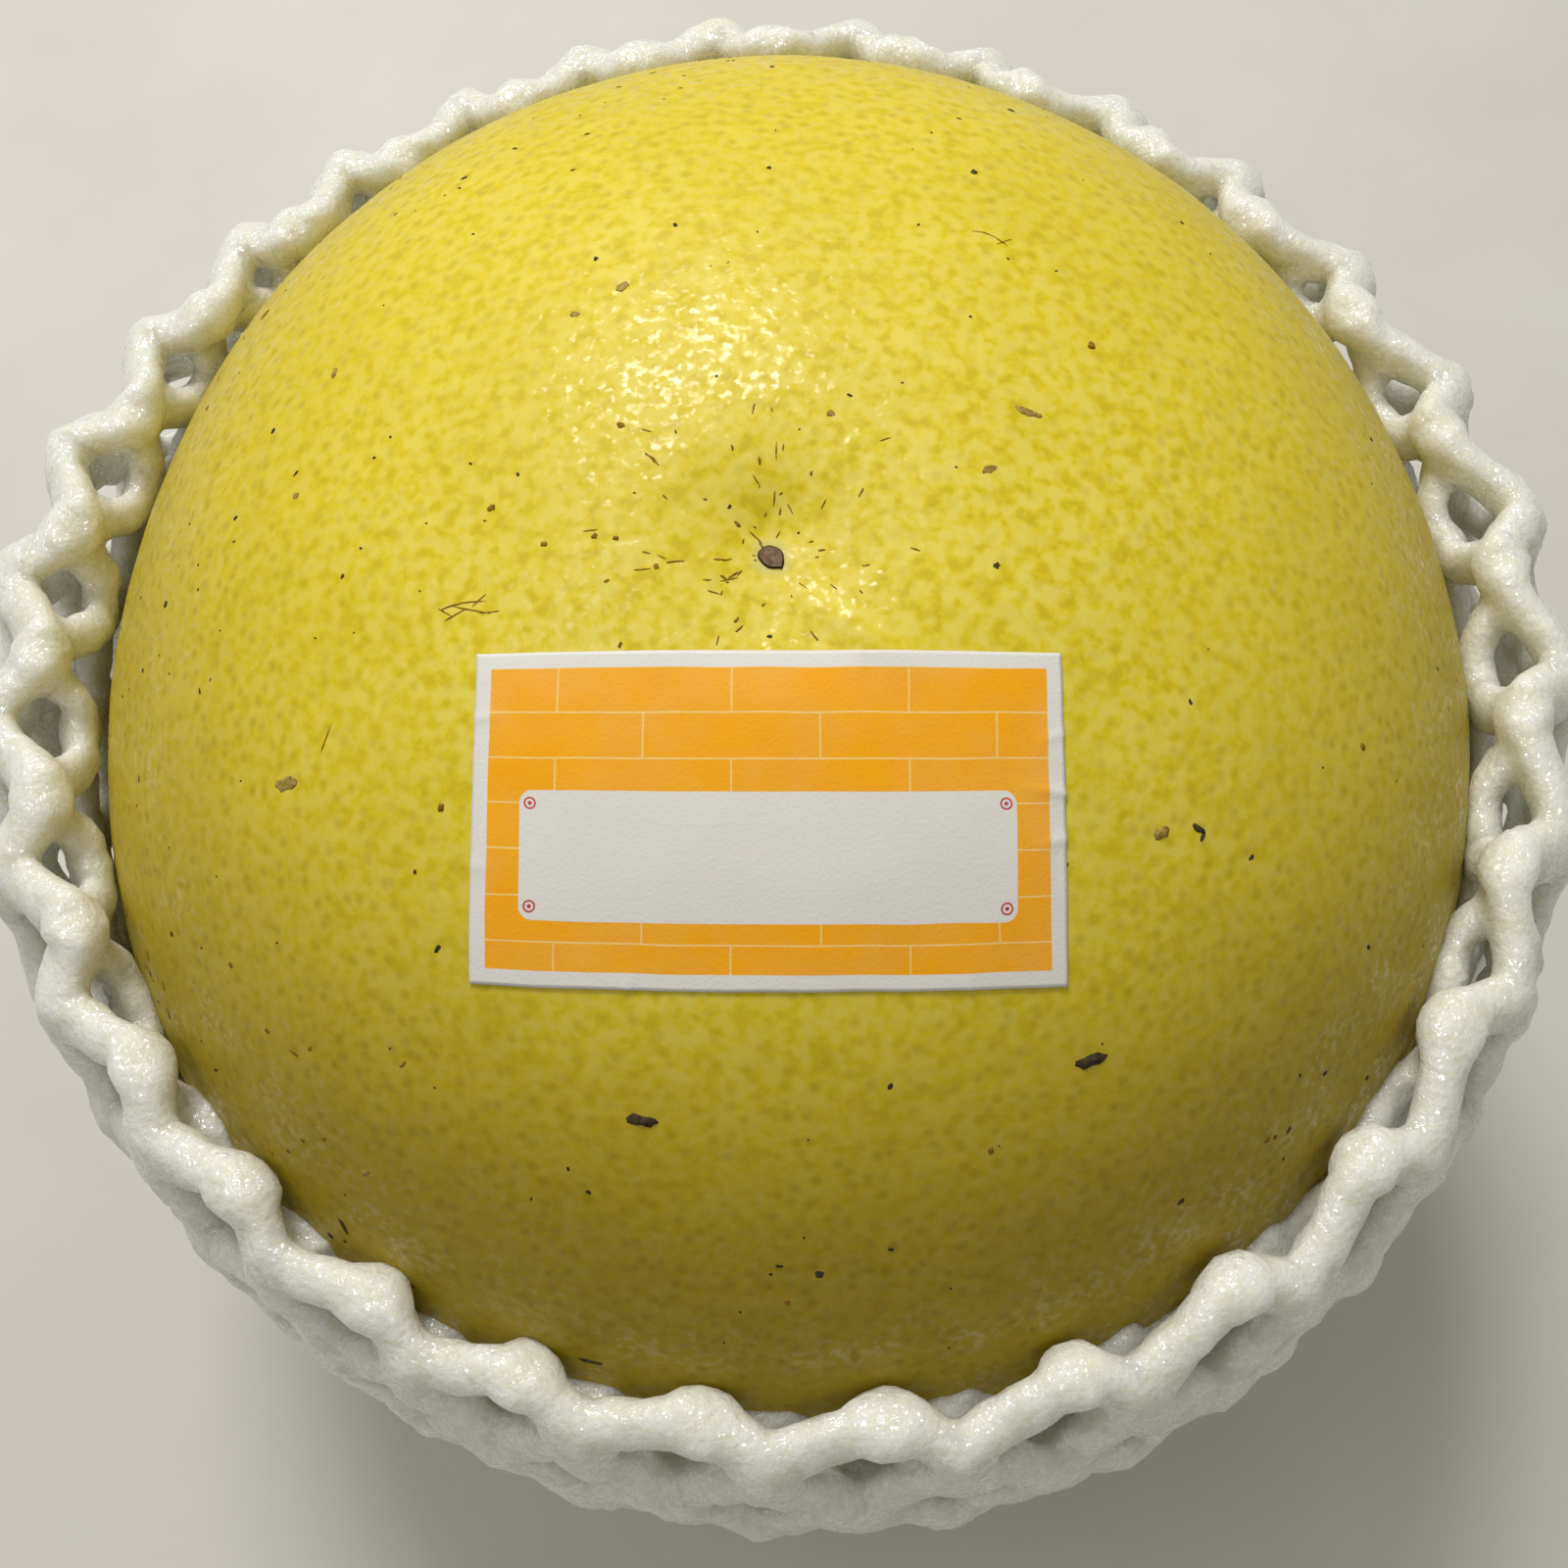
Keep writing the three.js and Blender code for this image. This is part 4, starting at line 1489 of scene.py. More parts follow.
@dataclass
class Label:
    """The paper label, pressed on the skin, with a few creases. Sizes are in millimetres."""

    fruit: Fruit
    width: float = 39.1
    height: float = 22.1
    elevation: float = math.radians(64.4)
    spread_low: float = 0.9
    spread_high: float = 0.25
    shift: float = -1.1
    lift: float = 0.05
    thickness: float = 0.09
    spanned: float = 0.35
    creases: tuple[Crease, ...] = (
        Crease(Edge.RIGHT, 1.6, angle=172.0, reach=4.2, height=0.22),
        Crease(Edge.RIGHT, -1.4, angle=190.0, reach=3.0, height=0.18),
        Crease(Edge.RIGHT, 5.4, angle=200.0, reach=2.4, height=0.12, inset=0.5),
        Crease(Edge.LEFT, 6.5, angle=8.0, reach=2.8, height=0.12),
        Crease(Edge.LEFT, -3.2, angle=-14.0, reach=2.2, height=0.1),
        Crease(Edge.TOP, 6.0, angle=-84.0, reach=2.4, height=0.12),
        Crease(Edge.BOTTOM, -9.0, angle=78.0, reach=2.0, height=0.1),
        Crease(Edge.BOTTOM, 13.0, angle=100.0, reach=2.4, height=0.12),
    )
    columns: int = 152
    rows: int = 84
    finish: PaperFinish = field(default_factory=PaperFinish)

    def lie(self, across: np.ndarray, up: np.ndarray, lift: np.ndarray) -> np.ndarray:
        """Points of the label.

        Args:
            across: Distance to the right of its middle, along the paper.
            up: Distance above its middle.
            lift: Height above the skin.

        Returns:
            Points in the part's frame.
        """
        turn = (self.shift + across) / self.fruit.form.half_height
        level = np.cos(turn)
        spread = 1.0 + (1.0 / level - 1.0) * np.where(up < 0.0, self.spread_low, self.spread_high)
        elevation = self.elevation + up * spread / self.fruit.form.half_height
        aims = np.stack([np.sin(turn), -np.cos(elevation) * level, np.sin(elevation) * level], axis=-1)
        own = aims @ self.fruit.form.leaning.T
        sunk = self.fruit.form.skin_radius(own) - self.fruit.form.body_radius(own)
        spanned = self.spanned * smoothstep(-sunk, 0.0, 1.2)
        return self.fruit.form.over_skin(aims, lift + self.fruit.relief(own) - spanned, hollows=False)

    def waves(self, across: np.ndarray, up: np.ndarray) -> np.ndarray:
        """Height of the paper's waves and creases.

        Args:
            across: Distance to the right of its middle.
            up: Distance above its middle.

        Returns:
            Height for each place.
        """
        total = 0.03 + 0.03 * smooth_noise(np.stack([across, up, up * 0], axis=-1), 4.0, 21)
        for crease in self.creases:
            total = total + crease.at(across, up, (self.width / 2, self.height / 2))
        return total

    def build(self) -> None:
        """Makes the label."""
        columns, rows = self.columns + 1, self.rows + 1
        share_x = np.tile(np.arange(columns) / self.columns, rows)
        share_y = np.repeat(np.arange(rows) / self.rows, columns)
        across = self.width * (share_x - 0.5)
        up = self.height * (share_y - 0.5)
        wavy = 0.05 * smooth_noise(np.stack([across, up, up * 0 + 3.0], axis=-1), 3.0, 4)
        lift = self.lift + self.waves(across, up)
        back = self.lie(across + wavy, up + wavy, lift)
        front = self.lie(across + wavy, up + wavy, lift + self.thickness)
        label = make_object("paper_label", np.concatenate([back, front]), self.faces(columns, rows))
        self.mark_print(label, np.stack([share_x, share_y], axis=-1))
        settle(label, self.finish.build(self.width, self.height), Slot.PAPER, "label")

    def faces(self, columns: int, rows: int) -> list[tuple[int, ...]]:
        """Faces of the sheet's front, back and rim.

        Args:
            columns: Points across.
            rows: Points up.

        Returns:
            Vertex numbers of each face.
        """
        face = columns * rows
        made: list[tuple[int, ...]] = []
        for row in range(rows - 1):
            for column in range(columns - 1):
                corner = row * columns + column
                quad = (corner, corner + 1, corner + 1 + columns, corner + columns)
                made.append(tuple(number + face for number in quad))
                made.append(tuple(reversed(quad)))
        rim = list(range(columns - 1))
        rim += [row * columns + columns - 1 for row in range(rows - 1)]
        rim += [(rows - 1) * columns + column for column in range(columns - 1, 0, -1)]
        rim += [row * columns for row in range(rows - 1, 0, -1)]
        for number, low in enumerate(rim):
            after = rim[(number + 1) % len(rim)]
            made.append((low, after, after + face, low + face))
        return made

    def mark_print(self, label: bpy.types.Object, shares: np.ndarray) -> None:
        """Stores where each corner is on the print.

        Args:
            label: The label's object.
            shares: Shares of the width and the height for each point of one side.
        """
        numbers = np.empty(len(label.data.loops), dtype=np.int64)
        label.data.loops.foreach_get("vertex_index", numbers)
        layer = label.data.uv_layers.new(name="print")
        layer.data.foreach_set("uv", shares[numbers % len(shares)].ravel())


# --- The foam net --------------------


@dataclass(frozen=True)
class FoamFinish(Finish):
    """White expanded foam, slightly see-through, with a satin skin that is wrinkled across each rope.

    Its lengths are in millimetres. On its glossy flecks a painted glint lightens the colour as well as the
    coat.
    """

    name: str = "foam"
    roughness: float = 0.42
    white: Colour = paint(240, 240, 228)
    shade: Colour = paint(227, 226, 210)
    painted_glint: Colour = paint(252, 253, 250)
    wrinkle: float = 0.55
    streak: float = 1.1
    lump: float = 0.55
    grain: float = 0.2
    facet: float = 0.7
    fleck: float = 0.5
    patch: float = 2.6
    flecks: tuple[float, float] = (0.44, 0.56)
    patches: tuple[float, float] = (0.34, 0.62)
    relief: float = 0.34
    satin_relief: float = 0.6
    depth: float = 3.2

    def build(self) -> bpy.types.Material:
        """Makes the foam's material.

        Returns:
            The material.
        """
        material, sheet, shader = self.start()
        place = sheet.place()
        plain, fine, facets, flecks, patches = (
            sheet.noise(place, 1 / (size * MM), detail)
            for size, detail in (
                (self.lump, 2.0), (self.grain, 0.0), (self.facet, 1.5), (self.fleck, 1.5), (self.patch, 1.0),
            )
        )
        along = sheet.product(self.wrinkles(sheet), 0.4)
        height = sheet.math("ADD", sheet.math("ADD", plain, along), sheet.product(fine, 0.2))
        patchy = sheet.eased(patches, *self.patches)
        glossy = sheet.product(sheet.eased(flecks, *self.flecks), sheet.spread(patchy, 0.35, 1.0))
        colour = sheet.blend(sheet.product(patchy, 0.6), self.shade, self.white)
        rough = sheet.eased(plain, 0.35, 0.65)
        # Painted glint: the base colour is lightened towards white on the glossy flecks, where the coat
        # glints too.
        sheet.give(shader, {
            "Base Color": sheet.blend(sheet.product(glossy, 0.6), colour, self.painted_glint),
            "Roughness": sheet.spread(rough, self.roughness - 0.1, self.roughness + 0.14),
            "Normal": sheet.bump(height, self.relief * MM),
            "Specular IOR Level": 0.35,
            "Subsurface Weight": 0.9,
            "Subsurface Radius": (1.0, 1.0, 1.0),
            "Subsurface Scale": self.depth * MM,
            "Coat Weight": glossy,
            "Coat IOR": 2.3,
            "Coat Roughness": 0.24,
            "Coat Normal": sheet.bump(facets, self.satin_relief * MM),
            "Sheen Weight": 0.1,
            "Sheen Roughness": 0.4,
        })
        return material

    def wrinkles(self, sheet: NodeSheet) -> Socket:
        """Fine wrinkles across each rope, away from its ends."""
        rope = sheet.node("ShaderNodeAttribute", attribute_name="rope").outputs["Vector"]
        free = sheet.node("ShaderNodeAttribute", attribute_name="free").outputs["Fac"]
        spaced = sheet.vector("MULTIPLY", rope, (1 / self.wrinkle, 1 / self.streak, 1.0))
        return sheet.product(sheet.noise(spaced, 1.0, 2.0), free)


@dataclass(frozen=True)
class Layer:
    """One layer of the net, as distances in millimetres: its ropes' middle above the skin, and their halves.

    At the rim the ropes stand off further by the flare, and less far by the tucks at the sides and the back.
    """

    middle: float
    half_wide: float
    half_thick: float
    flare: float
    front_flare: float
    tuck: float
    far_tuck: float

    def flare_at(self, facing: np.ndarray) -> np.ndarray:
        """How much further off the ropes are at the rim, for a share of facing the front."""
        return self.flare + (self.front_flare - self.flare) * facing


@dataclass
class FoamNet:
    """The net cap: one tube of diamond cells, folded over at the rim. Sizes are in millimetres.

    A knob's sizes are its halves along the rim, upwards and outwards. The foot's line holds shares of its
    radius, heights, and how deep the pleats are there.
    """

    form: FruitForm
    cells: int = 30
    net_rows: int = 11
    thickness: float = 2.9
    cell_side: float = 10.9
    net_gap: float = 0.6
    layer_gap: float = 0.4
    pressing: float = 0.2
    full_side: float = math.radians(-80)
    cell_shift: float = 0.19
    bunching: float = 0.33
    bunching_side: float = math.radians(60)
    rim_height: float = 27.5
    rim_lean: float = 0.14
    row_lifts: tuple[float, ...] = (0.0, 2.2, 1.7, 1.1, 0.5)
    gather_angles: tuple[float, ...] = (-61.0, -68.5, -75.0, -82.0)
    foot_radius: float = 25.0
    foot_line: tuple[tuple[float, float, float], ...] = (
        (1.1, 0.5, 0.9), (1.0, 0.02, 0.9), (0.85, 0.0, 1.0),
        (0.6, 0.0, 0.9), (0.35, 0.0, 0.6), (0.12, 0.1, 0.2),
    )
    pleat_depth: float = 1.6
    wander: float = 0.5
    fusing: float = 0.25
    bond: float = 1.2
    rim_bond: float = 2.4
    front_bond: float = 0.3
    rim_rise: float = 0.25
    side_late: float = 0.08
    far_late: float = 0.22
    sinking: float = 1.0
    front_sinking: float = 4.6
    uneven_ropes: float = 0.07
    uneven_crossings: float = 0.12
    knob: tuple[float, float, float] = (3.1, 1.8, 2.5)
    front_knob: tuple[float, float, float] = (0.4, 0.4, 0.2)
    crossing_side: float = 3.1
    crossing_tall: float = 4.0
    top_crossing_tall: float = 5.0
    front_crossing_tall: float = 2.0
    outer_lift: float = 0.15
    inner_lift: float = -0.05
    bottom_steps: int = 8
    front_drop: float = 1.0
    side_widening: float = 0.5
    sag: float = 0.5
    lumps: tuple[tuple[float, float, int], ...] = ((0.24, 2.4, 31), (0.17, 1.15, 32))
    kept_inside: float = 0.05
    stations: int = 9
    voxel: float = 0.48
    seen_below_rim: float = 16.0
    most_triangles: int = 192000
    hidden_share: float = 0.16
    patterns_apart: float = 500.0
    ropes_apart: float = 3.7
    free_from: tuple[float, float] = (0.2, 0.34)
    free_turn: float = 2.2
    finish: FoamFinish = field(default_factory=FoamFinish)

    def __post_init__(self) -> None:
        """Works out the layers' distances and the rows' elevations."""
        stack = self.net_gap + self.thickness
        half = self.thickness / 2
        self.inner = Layer(self.net_gap + half, half_wide=2.35, half_thick=1.5,
                           flare=0.1, front_flare=-0.3, tuck=1.5, far_tuck=0.4)
        self.outer = Layer(stack + self.layer_gap + half, half_wide=2.7, half_thick=1.65,
                           flare=2.3, front_flare=0.0, tuck=0.0, far_tuck=1.3)
        self.fold = Layer(stack + self.layer_gap / 2, half_wide=2.5, half_thick=1.85,
                          flare=0.9, front_flare=0.5, tuck=0.6, far_tuck=1.2)
        self.middle = self.form.radius + stack
        self.pitch = 2 * math.pi / self.cells
        self.row_elevations = [math.asin(self.rim_height / self.middle)]
        while len(self.row_elevations) <= self.net_rows:
            last = self.row_elevations[-1]
            width = self.middle * math.cos(last) * self.pitch / 2
            self.row_elevations.append(last - math.sqrt(self.cell_side**2 - width**2) / self.middle)
        for row, lift in enumerate(self.row_lifts):
            self.row_elevations[row] += lift / self.middle
        self.lines: list[np.ndarray] = []
        self.outs: list[np.ndarray] = []
        self.starts: list[float] = []

    def cell_turn(self, cell: float) -> float:
        """The angle round the Z axis of a place counted in cells."""
        bunched = self.bunching * math.cos(self.pitch * cell - self.bunching_side)
        return self.pitch * (cell + self.cell_shift + bunched)

    def scatter(self, i: int, row: int, kind: int) -> float:
        """A repeatable scatter from -1 to 1 for a crossing."""
        wave = math.sin(i * 12.9898 + row * 78.233 + kind * 37.719) * 43758.5453
        return 2 * (wave - math.floor(wave)) - 1

    def facing(self, turn: np.ndarray | float) -> np.ndarray:
        """1 at the front, where the net hugs the fruit, and 0 at the sides and the back."""
        return smoothstep(-np.sin(np.asarray(turn, dtype=float)), 0.1, 0.9)

    def over_skin(
        self,
        turn: np.ndarray,
        elevation: np.ndarray,
        distance: np.ndarray,
        layer: Layer | None = None,
        drift: np.ndarray | float = 1.0,
    ) -> np.ndarray:
        """Points over the skin, pressed closer in some places and flared towards the rim.

        Args:
            turn: Angles round the Z axis.
            elevation: Angles above the level.
            distance: Distances above the skin.
            layer: The layer whose flare they take, or none.
            drift: How far they have come from the fold to that layer, from 0 to 1.

        Returns:
            Points in the part's frame.
        """
        aims = directions(turn, elevation)
        flare: np.ndarray | float = 0.0
        if layer is not None:
            at_rim = self.fold.flare_at(self.facing(turn))
            flare = at_rim + (layer.flare_at(self.facing(turn)) - at_rim) * drift
            flare = flare * smoothstep(self.middle * np.sin(elevation), 0.0, self.rim_height)
            tuck = self.fold.tuck + (layer.tuck - self.fold.tuck) * drift
            far_tuck = self.fold.far_tuck + (layer.far_tuck - self.fold.far_tuck) * drift
            far = np.abs(np.sin(2 * turn)) * smoothstep(np.sin(turn), 0.0, 0.3)
            flare = flare - tuck * np.cos(turn) ** 2 - far_tuck * far
        front = (1.0 - aims[..., 2] ** 2) * (1.0 - np.sin(turn)) / 2
        full = 1.0 + self.pressing * front * np.cos(3 * (turn - self.full_side))
        return self.form.over_skin(aims, (distance + flare) * full, hollows=False)

    def crossing_place(self, i: int, row: int) -> tuple[float, float]:
        """Turn and elevation of a crossing."""
        elevation = self.row_elevations[row]
        level = self.middle * math.cos(elevation)
        lean = self.rim_lean if row == 0 else 0.0
        turn = self.cell_turn(i + (row % 2) / 2 + lean) + self.wander * self.scatter(i, row, 1) / level
        if row == 0:
            elevation -= self.front_drop * float(self.facing(turn)) / self.middle
        return turn, elevation + self.wander * self.scatter(i, row, 2) / self.middle

    def add_strand(self, heap: Heap, i: int, row: int, towards: int, layer: Layer) -> None:
        """Adds the rope from one crossing down to the next.

        Args:
            heap: Where it goes.
            i: Number of the upper crossing round the net.
            row: Row of the upper crossing.
            towards: 1 where the rope runs to growing turns, and -1 where it runs back.
            layer: The rope's layer.
        """
        below = (i + row % 2 + self.cells + (towards - 1) // 2) % self.cells
        turn_a, elevation_a = self.crossing_place(i, row)
        turn_b, elevation_b = self.crossing_place(below, row + 1)
        around = (turn_b - turn_a + math.pi) % (2 * math.pi) - math.pi
        share = np.linspace(0.0, 1.0, self.stations)
        turn = turn_a + around * share
        start = elevation_a - (self.bond if row > 0 else 0.0) / self.middle
        facing = float(self.facing(turn_a))
        on_rim = row == 0 and layer is self.outer
        bond = self.rim_bond + self.front_bond * facing if on_rim else self.bond
        elevation = start + (elevation_b + bond / self.middle - start) * share
        sag = self.sag * np.sin(math.pi * share) ** 2 if layer is self.outer else 0.0
        distance = layer.middle + self.fusing * towards * np.abs(np.cos(math.pi * share)) - sag
        rise = np.zeros(self.stations)
        drift = np.ones(self.stations)
        wide, thick = layer.half_wide, layer.half_thick
        if row == 0:
            far = float(smoothstep(np.sin(turn_a), 0.3, 0.85))
            late = (self.side_late + self.far_late * far) * (1.0 - facing)
            arrived = 0.9 + late / 3 if layer is self.outer else 0.5 + 1.5 * late
            drift = smoothstep(share, late, arrived)
            distance = self.fold.middle + (distance - self.fold.middle) * drift
            rise = self.rim_rise * (1.0 - smoothstep(share, 0.0, 0.35))
            wide = self.fold.half_wide + self.side_widening * (1.0 - facing)
            thick = self.fold.half_thick
            if layer is self.inner:
                sunk = self.sinking + self.front_sinking * facing
                rise = rise - sunk * smoothstep(share, 0.0, 0.3) * (1.0 - smoothstep(share, 0.7, 1.0))
                wide, thick = layer.half_wide, layer.half_thick
        line = self.over_skin(turn, elevation, distance, layer, drift)
        line = line + directions(turn, elevation + math.pi / 2) * rise[:, None]
        grown = 1.0 + self.uneven_ropes * self.scatter(i, row, 5 + towards)
        out = unit(line - self.form.centre)
        heap.add_tube(line, out, wide * grown, thick)
        self.lines.append(line)
        self.outs.append(out)
        self.starts.append(row * self.cell_side + (self.patterns_apart if towards > 0 else 0.0))

    def add_crossing(self, heap: Heap, i: int, row: int, layer: Layer) -> None:
        """Adds the lump where two ropes of a layer are fused.

        Args:
            heap: Where it goes.
            i: Its number round the net.
            row: Its row.
            layer: Its layer.
        """
        turn, elevation = self.crossing_place(i, row)
        up = directions(np.array(turn), np.array(elevation + math.pi / 2))
        out = directions(np.array(turn), np.array(elevation))
        side = np.cross(up, out)
        grown = np.array([1.0 + self.uneven_crossings * self.scatter(i, row, 9), 1.0, 1.0])
        facing = float(self.facing(turn))
        if row == 0:
            place = self.fold.middle
            stands_on = self.fold
            halves = np.array(self.knob) + np.array(self.front_knob) * facing
        else:
            place = layer.middle + (self.outer_lift if layer is self.outer else self.inner_lift)
            stands_on = layer
            tall, wider = self.crossing_tall, 0.0
            if row == 1:
                tall -= self.front_crossing_tall * facing
                if layer is self.outer:
                    tall = self.top_crossing_tall
                wider = self.side_widening * (1.0 - facing)
            halves = np.array([self.crossing_side + wider, tall, layer.half_thick + 0.1])
        centre = self.over_skin(np.array(turn), np.array(elevation), np.array(place), stands_on)
        heap.add_ball(centre, np.array([side, up, out]) * (halves * grown)[:, None])

    def add_bottom(self, heap: Heap) -> None:
        """Adds the gathered bottom, where the pleats of both layers are pressed together.

        Args:
            heap: Where it goes.
        """
        count = self.cells * self.bottom_steps
        first = (self.net_rows % 2) / 2
        turn = np.array([self.cell_turn(first + i / self.bottom_steps) for i in range(count)])
        pleat = 0.5 - 0.5 * np.cos(2 * math.pi * np.arange(count) / 4)
        last = self.row_elevations[-1] + 0.01
        gathered = [math.radians(angle) for angle in self.gather_angles]
        top = self.outer.middle + self.outer.half_thick

        def ring(elevation: float, distance: np.ndarray | float) -> np.ndarray:
            """Points round the net at an elevation."""
            return self.over_skin(turn, np.full(count, elevation), distance + np.zeros(count))

        rings = [ring(last, self.outer.middle + 0.9 - 1.3 * pleat)]
        rings.append(ring(gathered[0], top - self.pleat_depth * pleat))
        for share, rise, groove in self.foot_line:
            reach = self.foot_radius * share
            height = rise + groove * pleat
            rings.append(np.stack([reach * np.cos(turn), reach * np.sin(turn), height], axis=-1))
        rings += [ring(elevation, self.net_gap) for elevation in reversed(gathered)]
        rings.append(ring(last, self.inner.middle - 0.9))
        heap.add(np.concatenate(rings), ring_faces(len(rings), count, turned=True, closed=True))

    def build(self) -> None:
        """Makes the net."""
        heap = Heap()
        for layer in (self.outer, self.inner):
            for row in range(self.net_rows + 1):
                for i in range(self.cells):
                    self.add_crossing(heap, i, row, layer)
                    for towards in (1, -1) if row < self.net_rows else ():
                        self.add_strand(heap, i, row, towards, layer)
        self.add_bottom(heap)
        net = heap.make("net_cap")
        self.fuse(net)
        self.rumple(net)
        self.thin_out(net)
        self.mark_ropes(net)
        net.data.polygons.foreach_set("use_smooth", [True] * len(net.data.polygons))
        settle(net, self.finish.build(), Slot.FOAM, "foam_net")

    def fuse(self, net: bpy.types.Object) -> None:
        """Turns the heap of shells into one closed surface.

        Args:
            net: The net's object.
        """
        fused = net.modifiers.new("fused", "REMESH")
        fused.mode = "VOXEL"
        fused.voxel_size = self.voxel * MM
        fused.use_smooth_shade = True
        soft = net.modifiers.new("soft", "SMOOTH")
        soft.factor = 0.5
        soft.iterations = 9
        bake_modifiers(net)
        LOG.info("fused net: %d faces", len(net.data.polygons))

    def rumple(self, net: bpy.types.Object) -> None:
        """Gives the ropes soft lumps and keeps them off the floor and inside the solids' box.

        Args:
            net: The net's object.
        """
        points = vertices_mm(net)
        lumps = lumpy(points, *self.lumps) * smoothstep(points[:, 2], 0.4, 4.0)
        displace(net, lumps)
        low, high = (np.array(corner) / MM for corner in CAD_BOX)
        kept = np.clip(vertices_mm(net), low + self.kept_inside, high - self.kept_inside) * MM
        net.data.vertices.foreach_set("co", kept.ravel())
        net.data.update()

    def thin_out(self, net: bpy.types.Object) -> None:
        """Brings the net under its number of triangles, first where the fruit and the outer layer hide it.

        Args:
            net: The net's object.
        """
        points = vertices_mm(net) - self.form.centre
        reach = np.linalg.norm(points, axis=1)
        aims = points / reach[:, None]
        height = reach - self.form.body_radius(aims @ self.form.leaning.T)
        low = points[:, 2] < self.rim_height - self.seen_below_rim
        hidden = (height < self.fold.middle - self.layer_gap / 2) & low
        hidden |= (aims[:, 2] < math.sin(self.row_elevations[-2])) & (height < self.outer.middle)
        group = net.vertex_groups.new(name="hidden")
        group.add(np.nonzero(hidden)[0].tolist(), 1.0, "REPLACE")
        share = float(hidden.mean())
        first = net.modifiers.new("hidden", "DECIMATE")
        first.vertex_group = "hidden"
        first.vertex_group_factor = 1.0
        first.ratio = 1.0 - share * (1.0 - self.hidden_share)
        bake_modifiers(net)
        net.vertex_groups.clear()
        net.data.calc_loop_triangles()
        second = net.modifiers.new("fewer", "DECIMATE")
        second.ratio = min(1.0, self.most_triangles / len(net.data.loop_triangles))
        bake_modifiers(net)

    def mark_ropes(self, net: bpy.types.Object) -> None:
        """Stores at each point how far along its rope and how far round it the point is.

        Args:
            net: The net's object.
        """
        lines, outs = np.array(self.lines), np.array(self.outs)
        tree = KDTree(lines.shape[0] * lines.shape[1])
        for number, place in enumerate(lines.reshape(-1, 3)):
            tree.insert(place, number)
        tree.balance()
        points = vertices_mm(net)
        nearest = np.array([tree.find(point)[1] for point in points])
        strand, station = np.divmod(nearest, self.stations)
        run = unit(np.gradient(lines, axis=1))[strand, station]
        out = outs[strand, station]
        side = unit(np.cross(run, out))
        away = points - lines[strand, station]
        along = np.array(self.starts)[strand] + station * self.cell_side / (self.stations - 1)
        along = along + np.sum(away * run, axis=1)
        turn = np.arctan2(np.sum(away * side, axis=1), np.sum(away * out, axis=1))
        rope = np.stack([along, turn * self.outer.half_wide, strand * self.ropes_apart], axis=-1)
        layer = net.data.attributes.new("rope", "FLOAT_VECTOR", "POINT")
        layer.data.foreach_set("vector", rope.ravel())
        off_end = np.minimum(station, self.stations - 1 - station) / (self.stations - 1)
        middle = smoothstep(off_end, *self.free_from) * (np.abs(turn) < self.free_turn)
        layer = net.data.attributes.new("free", "FLOAT", "POINT")
        layer.data.foreach_set("value", middle)


# --- The studio --------------------


@dataclass(frozen=True)
class Lamp:
    """One soft light: where it stands and how large and strong it is. Lengths are in millimetres."""

    name: str
    place: tuple[float, float, float]
    size: float
    watts: float
    colour: tuple[float, float, float] = (1.0, 1.0, 1.0)

    def light(self, target: np.ndarray) -> None:
        """Makes the light, turned to a place.

        Args:
            target: Where it points.
        """
        data = bpy.data.lights.new(self.name, "AREA")
        data.shape = "DISK"
        data.size = self.size * MM
        data.energy = self.watts
        data.color = self.colour
        lamp = bpy.data.objects.new(self.name, data)
        lamp.location = Vector(self.place) * MM
        aim = Vector(target * MM) - lamp.location
        lamp.rotation_euler = aim.to_track_quat("-Z", "Y").to_euler()
        bpy.context.scene.collection.objects.link(lamp)


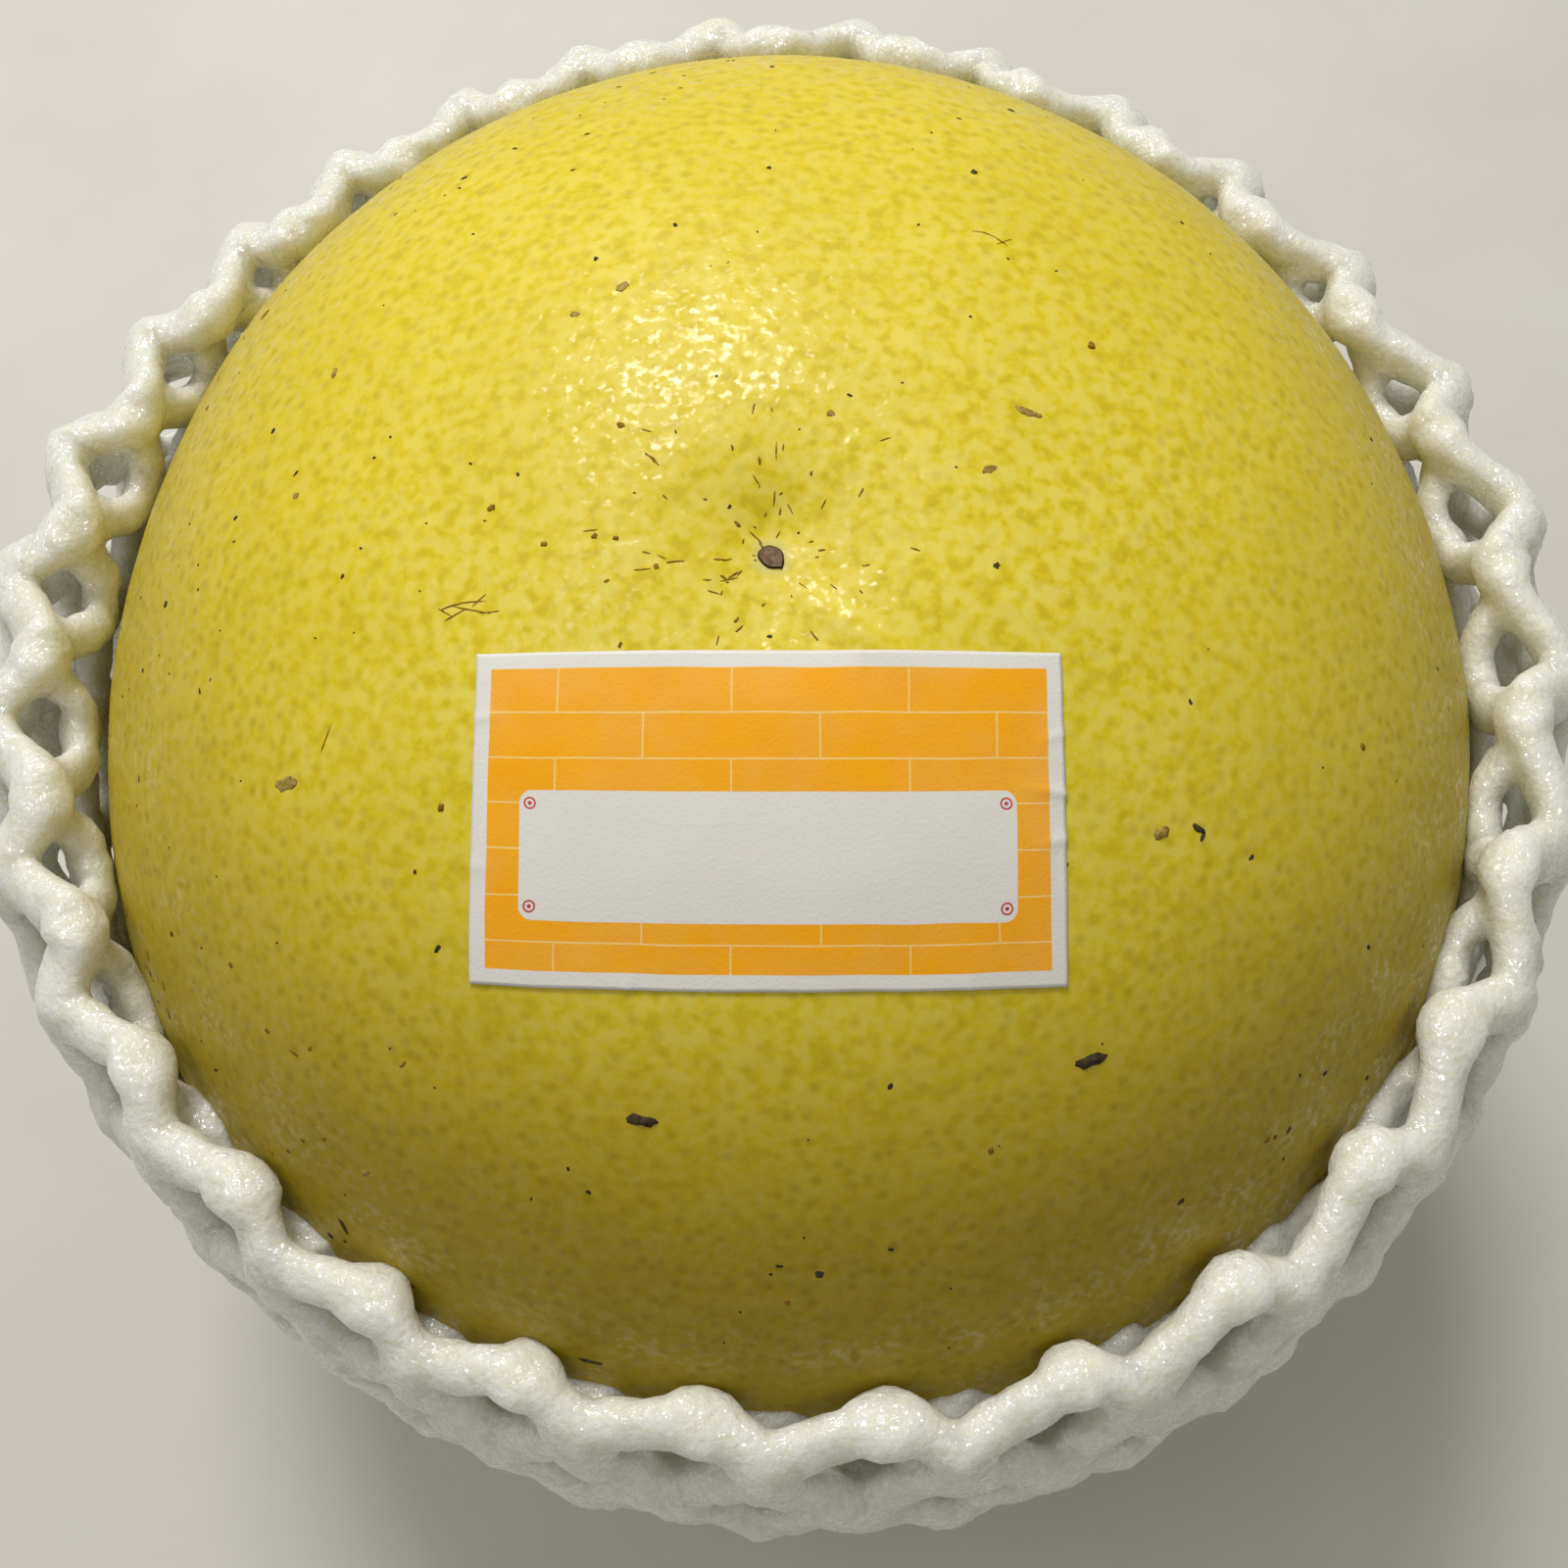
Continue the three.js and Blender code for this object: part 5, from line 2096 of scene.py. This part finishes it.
@dataclass
class Studio:
    """The pale floor, the soft light and the sky.

    Light bounces so many times in all, off dull surfaces and off glossy ones.
    """

    floor_size: float = 3000.0
    floor: GrainyFinish = GrainyFinish("floor", 0.6, paint(206, 204, 195), paint(212, 210, 202), 60.0)
    sky: tuple[float, float, float, float] = (1.0, 0.975, 0.9, 1.0)
    sky_strength: float = 0.35
    bounces: tuple[int, int, int] = (5, 3, 2)
    lamps: tuple[Lamp, ...] = (
        Lamp("key", (-175.0, 515.0, 830.0), 300.0, 6.1, (1.0, 0.985, 0.95)),
        Lamp("fill", (-365.0, 40.0, 890.0), 260.0, 0.7, (1.0, 0.985, 0.95)),
    )

    def build(self, form: FruitForm) -> None:
        """Makes the floor, the lights and the sky.

        Args:
            form: The fruit's form, which the lights point to.
        """
        half = self.floor_size / 2
        corners = np.array([[-half, -half, 0], [half, -half, 0], [half, half, 0], [-half, half, 0]])
        floor = make_object("floor", corners, [(0, 1, 2, 3)])
        floor.data.materials.append(self.floor.build())
        for lamp in self.lamps:
            lamp.light(form.centre)
        world = bpy.data.worlds.new("sky")
        world.use_nodes = True
        background = world.node_tree.nodes["Background"]
        NodeSheet(world.node_tree).give(background, {"Color": self.sky, "Strength": self.sky_strength})
        bpy.context.scene.world = world
        bpy.context.scene.view_settings.view_transform = "Standard"
        cycles = bpy.context.scene.cycles
        cycles.max_bounces, cycles.diffuse_bounces, cycles.glossy_bounces = self.bounces


def main() -> None:
    """Builds the whole scene, piece by piece."""
    logging.basicConfig(level=logging.INFO, format="%(name)s: %(message)s")
    form = FruitForm()
    view = Viewpoint()
    view.place_camera(form)
    Studio().build(form)
    grown = FruitForm(
        narrow=0.024,
        front_bulge=replace(form.front_bulge, lift=0.038),
        far_bulge=replace(form.far_bulge, lift=0.018),
    )
    fruit = Fruit(grown)
    fruit.build()
    dark = SkinMarks("dark_marks", fruit, view, MarkFinish(), DARK_MARKS)
    dark.scatter(430, 7, unit(np.array([-0.8, 0.55, 0.15])), (0.22, 0.75))
    dark.build()
    brown = MarkFinish("brown_mark", 0.8, paint(112, 82, 16), paint(166, 130, 40))
    strokes = SkinMarks("brown_strokes", fruit, view, brown, BROWN_STROKES, top_share=0.88, proud=0.02,
                        widening=1.3)
    strokes.ring_scar(26, 900)
    strokes.build()
    tan = MarkFinish("tan_mark", 0.6, paint(122, 96, 40), paint(186, 160, 84))
    SkinMarks("tan_marks", fruit, view, tan, TAN_MARKS).build()
    BlossomScar(fruit).build()
    Calyx(fruit).build()
    Label(fruit).build()
    FoamNet(form).build()


if __name__ == "__main__":
    main()
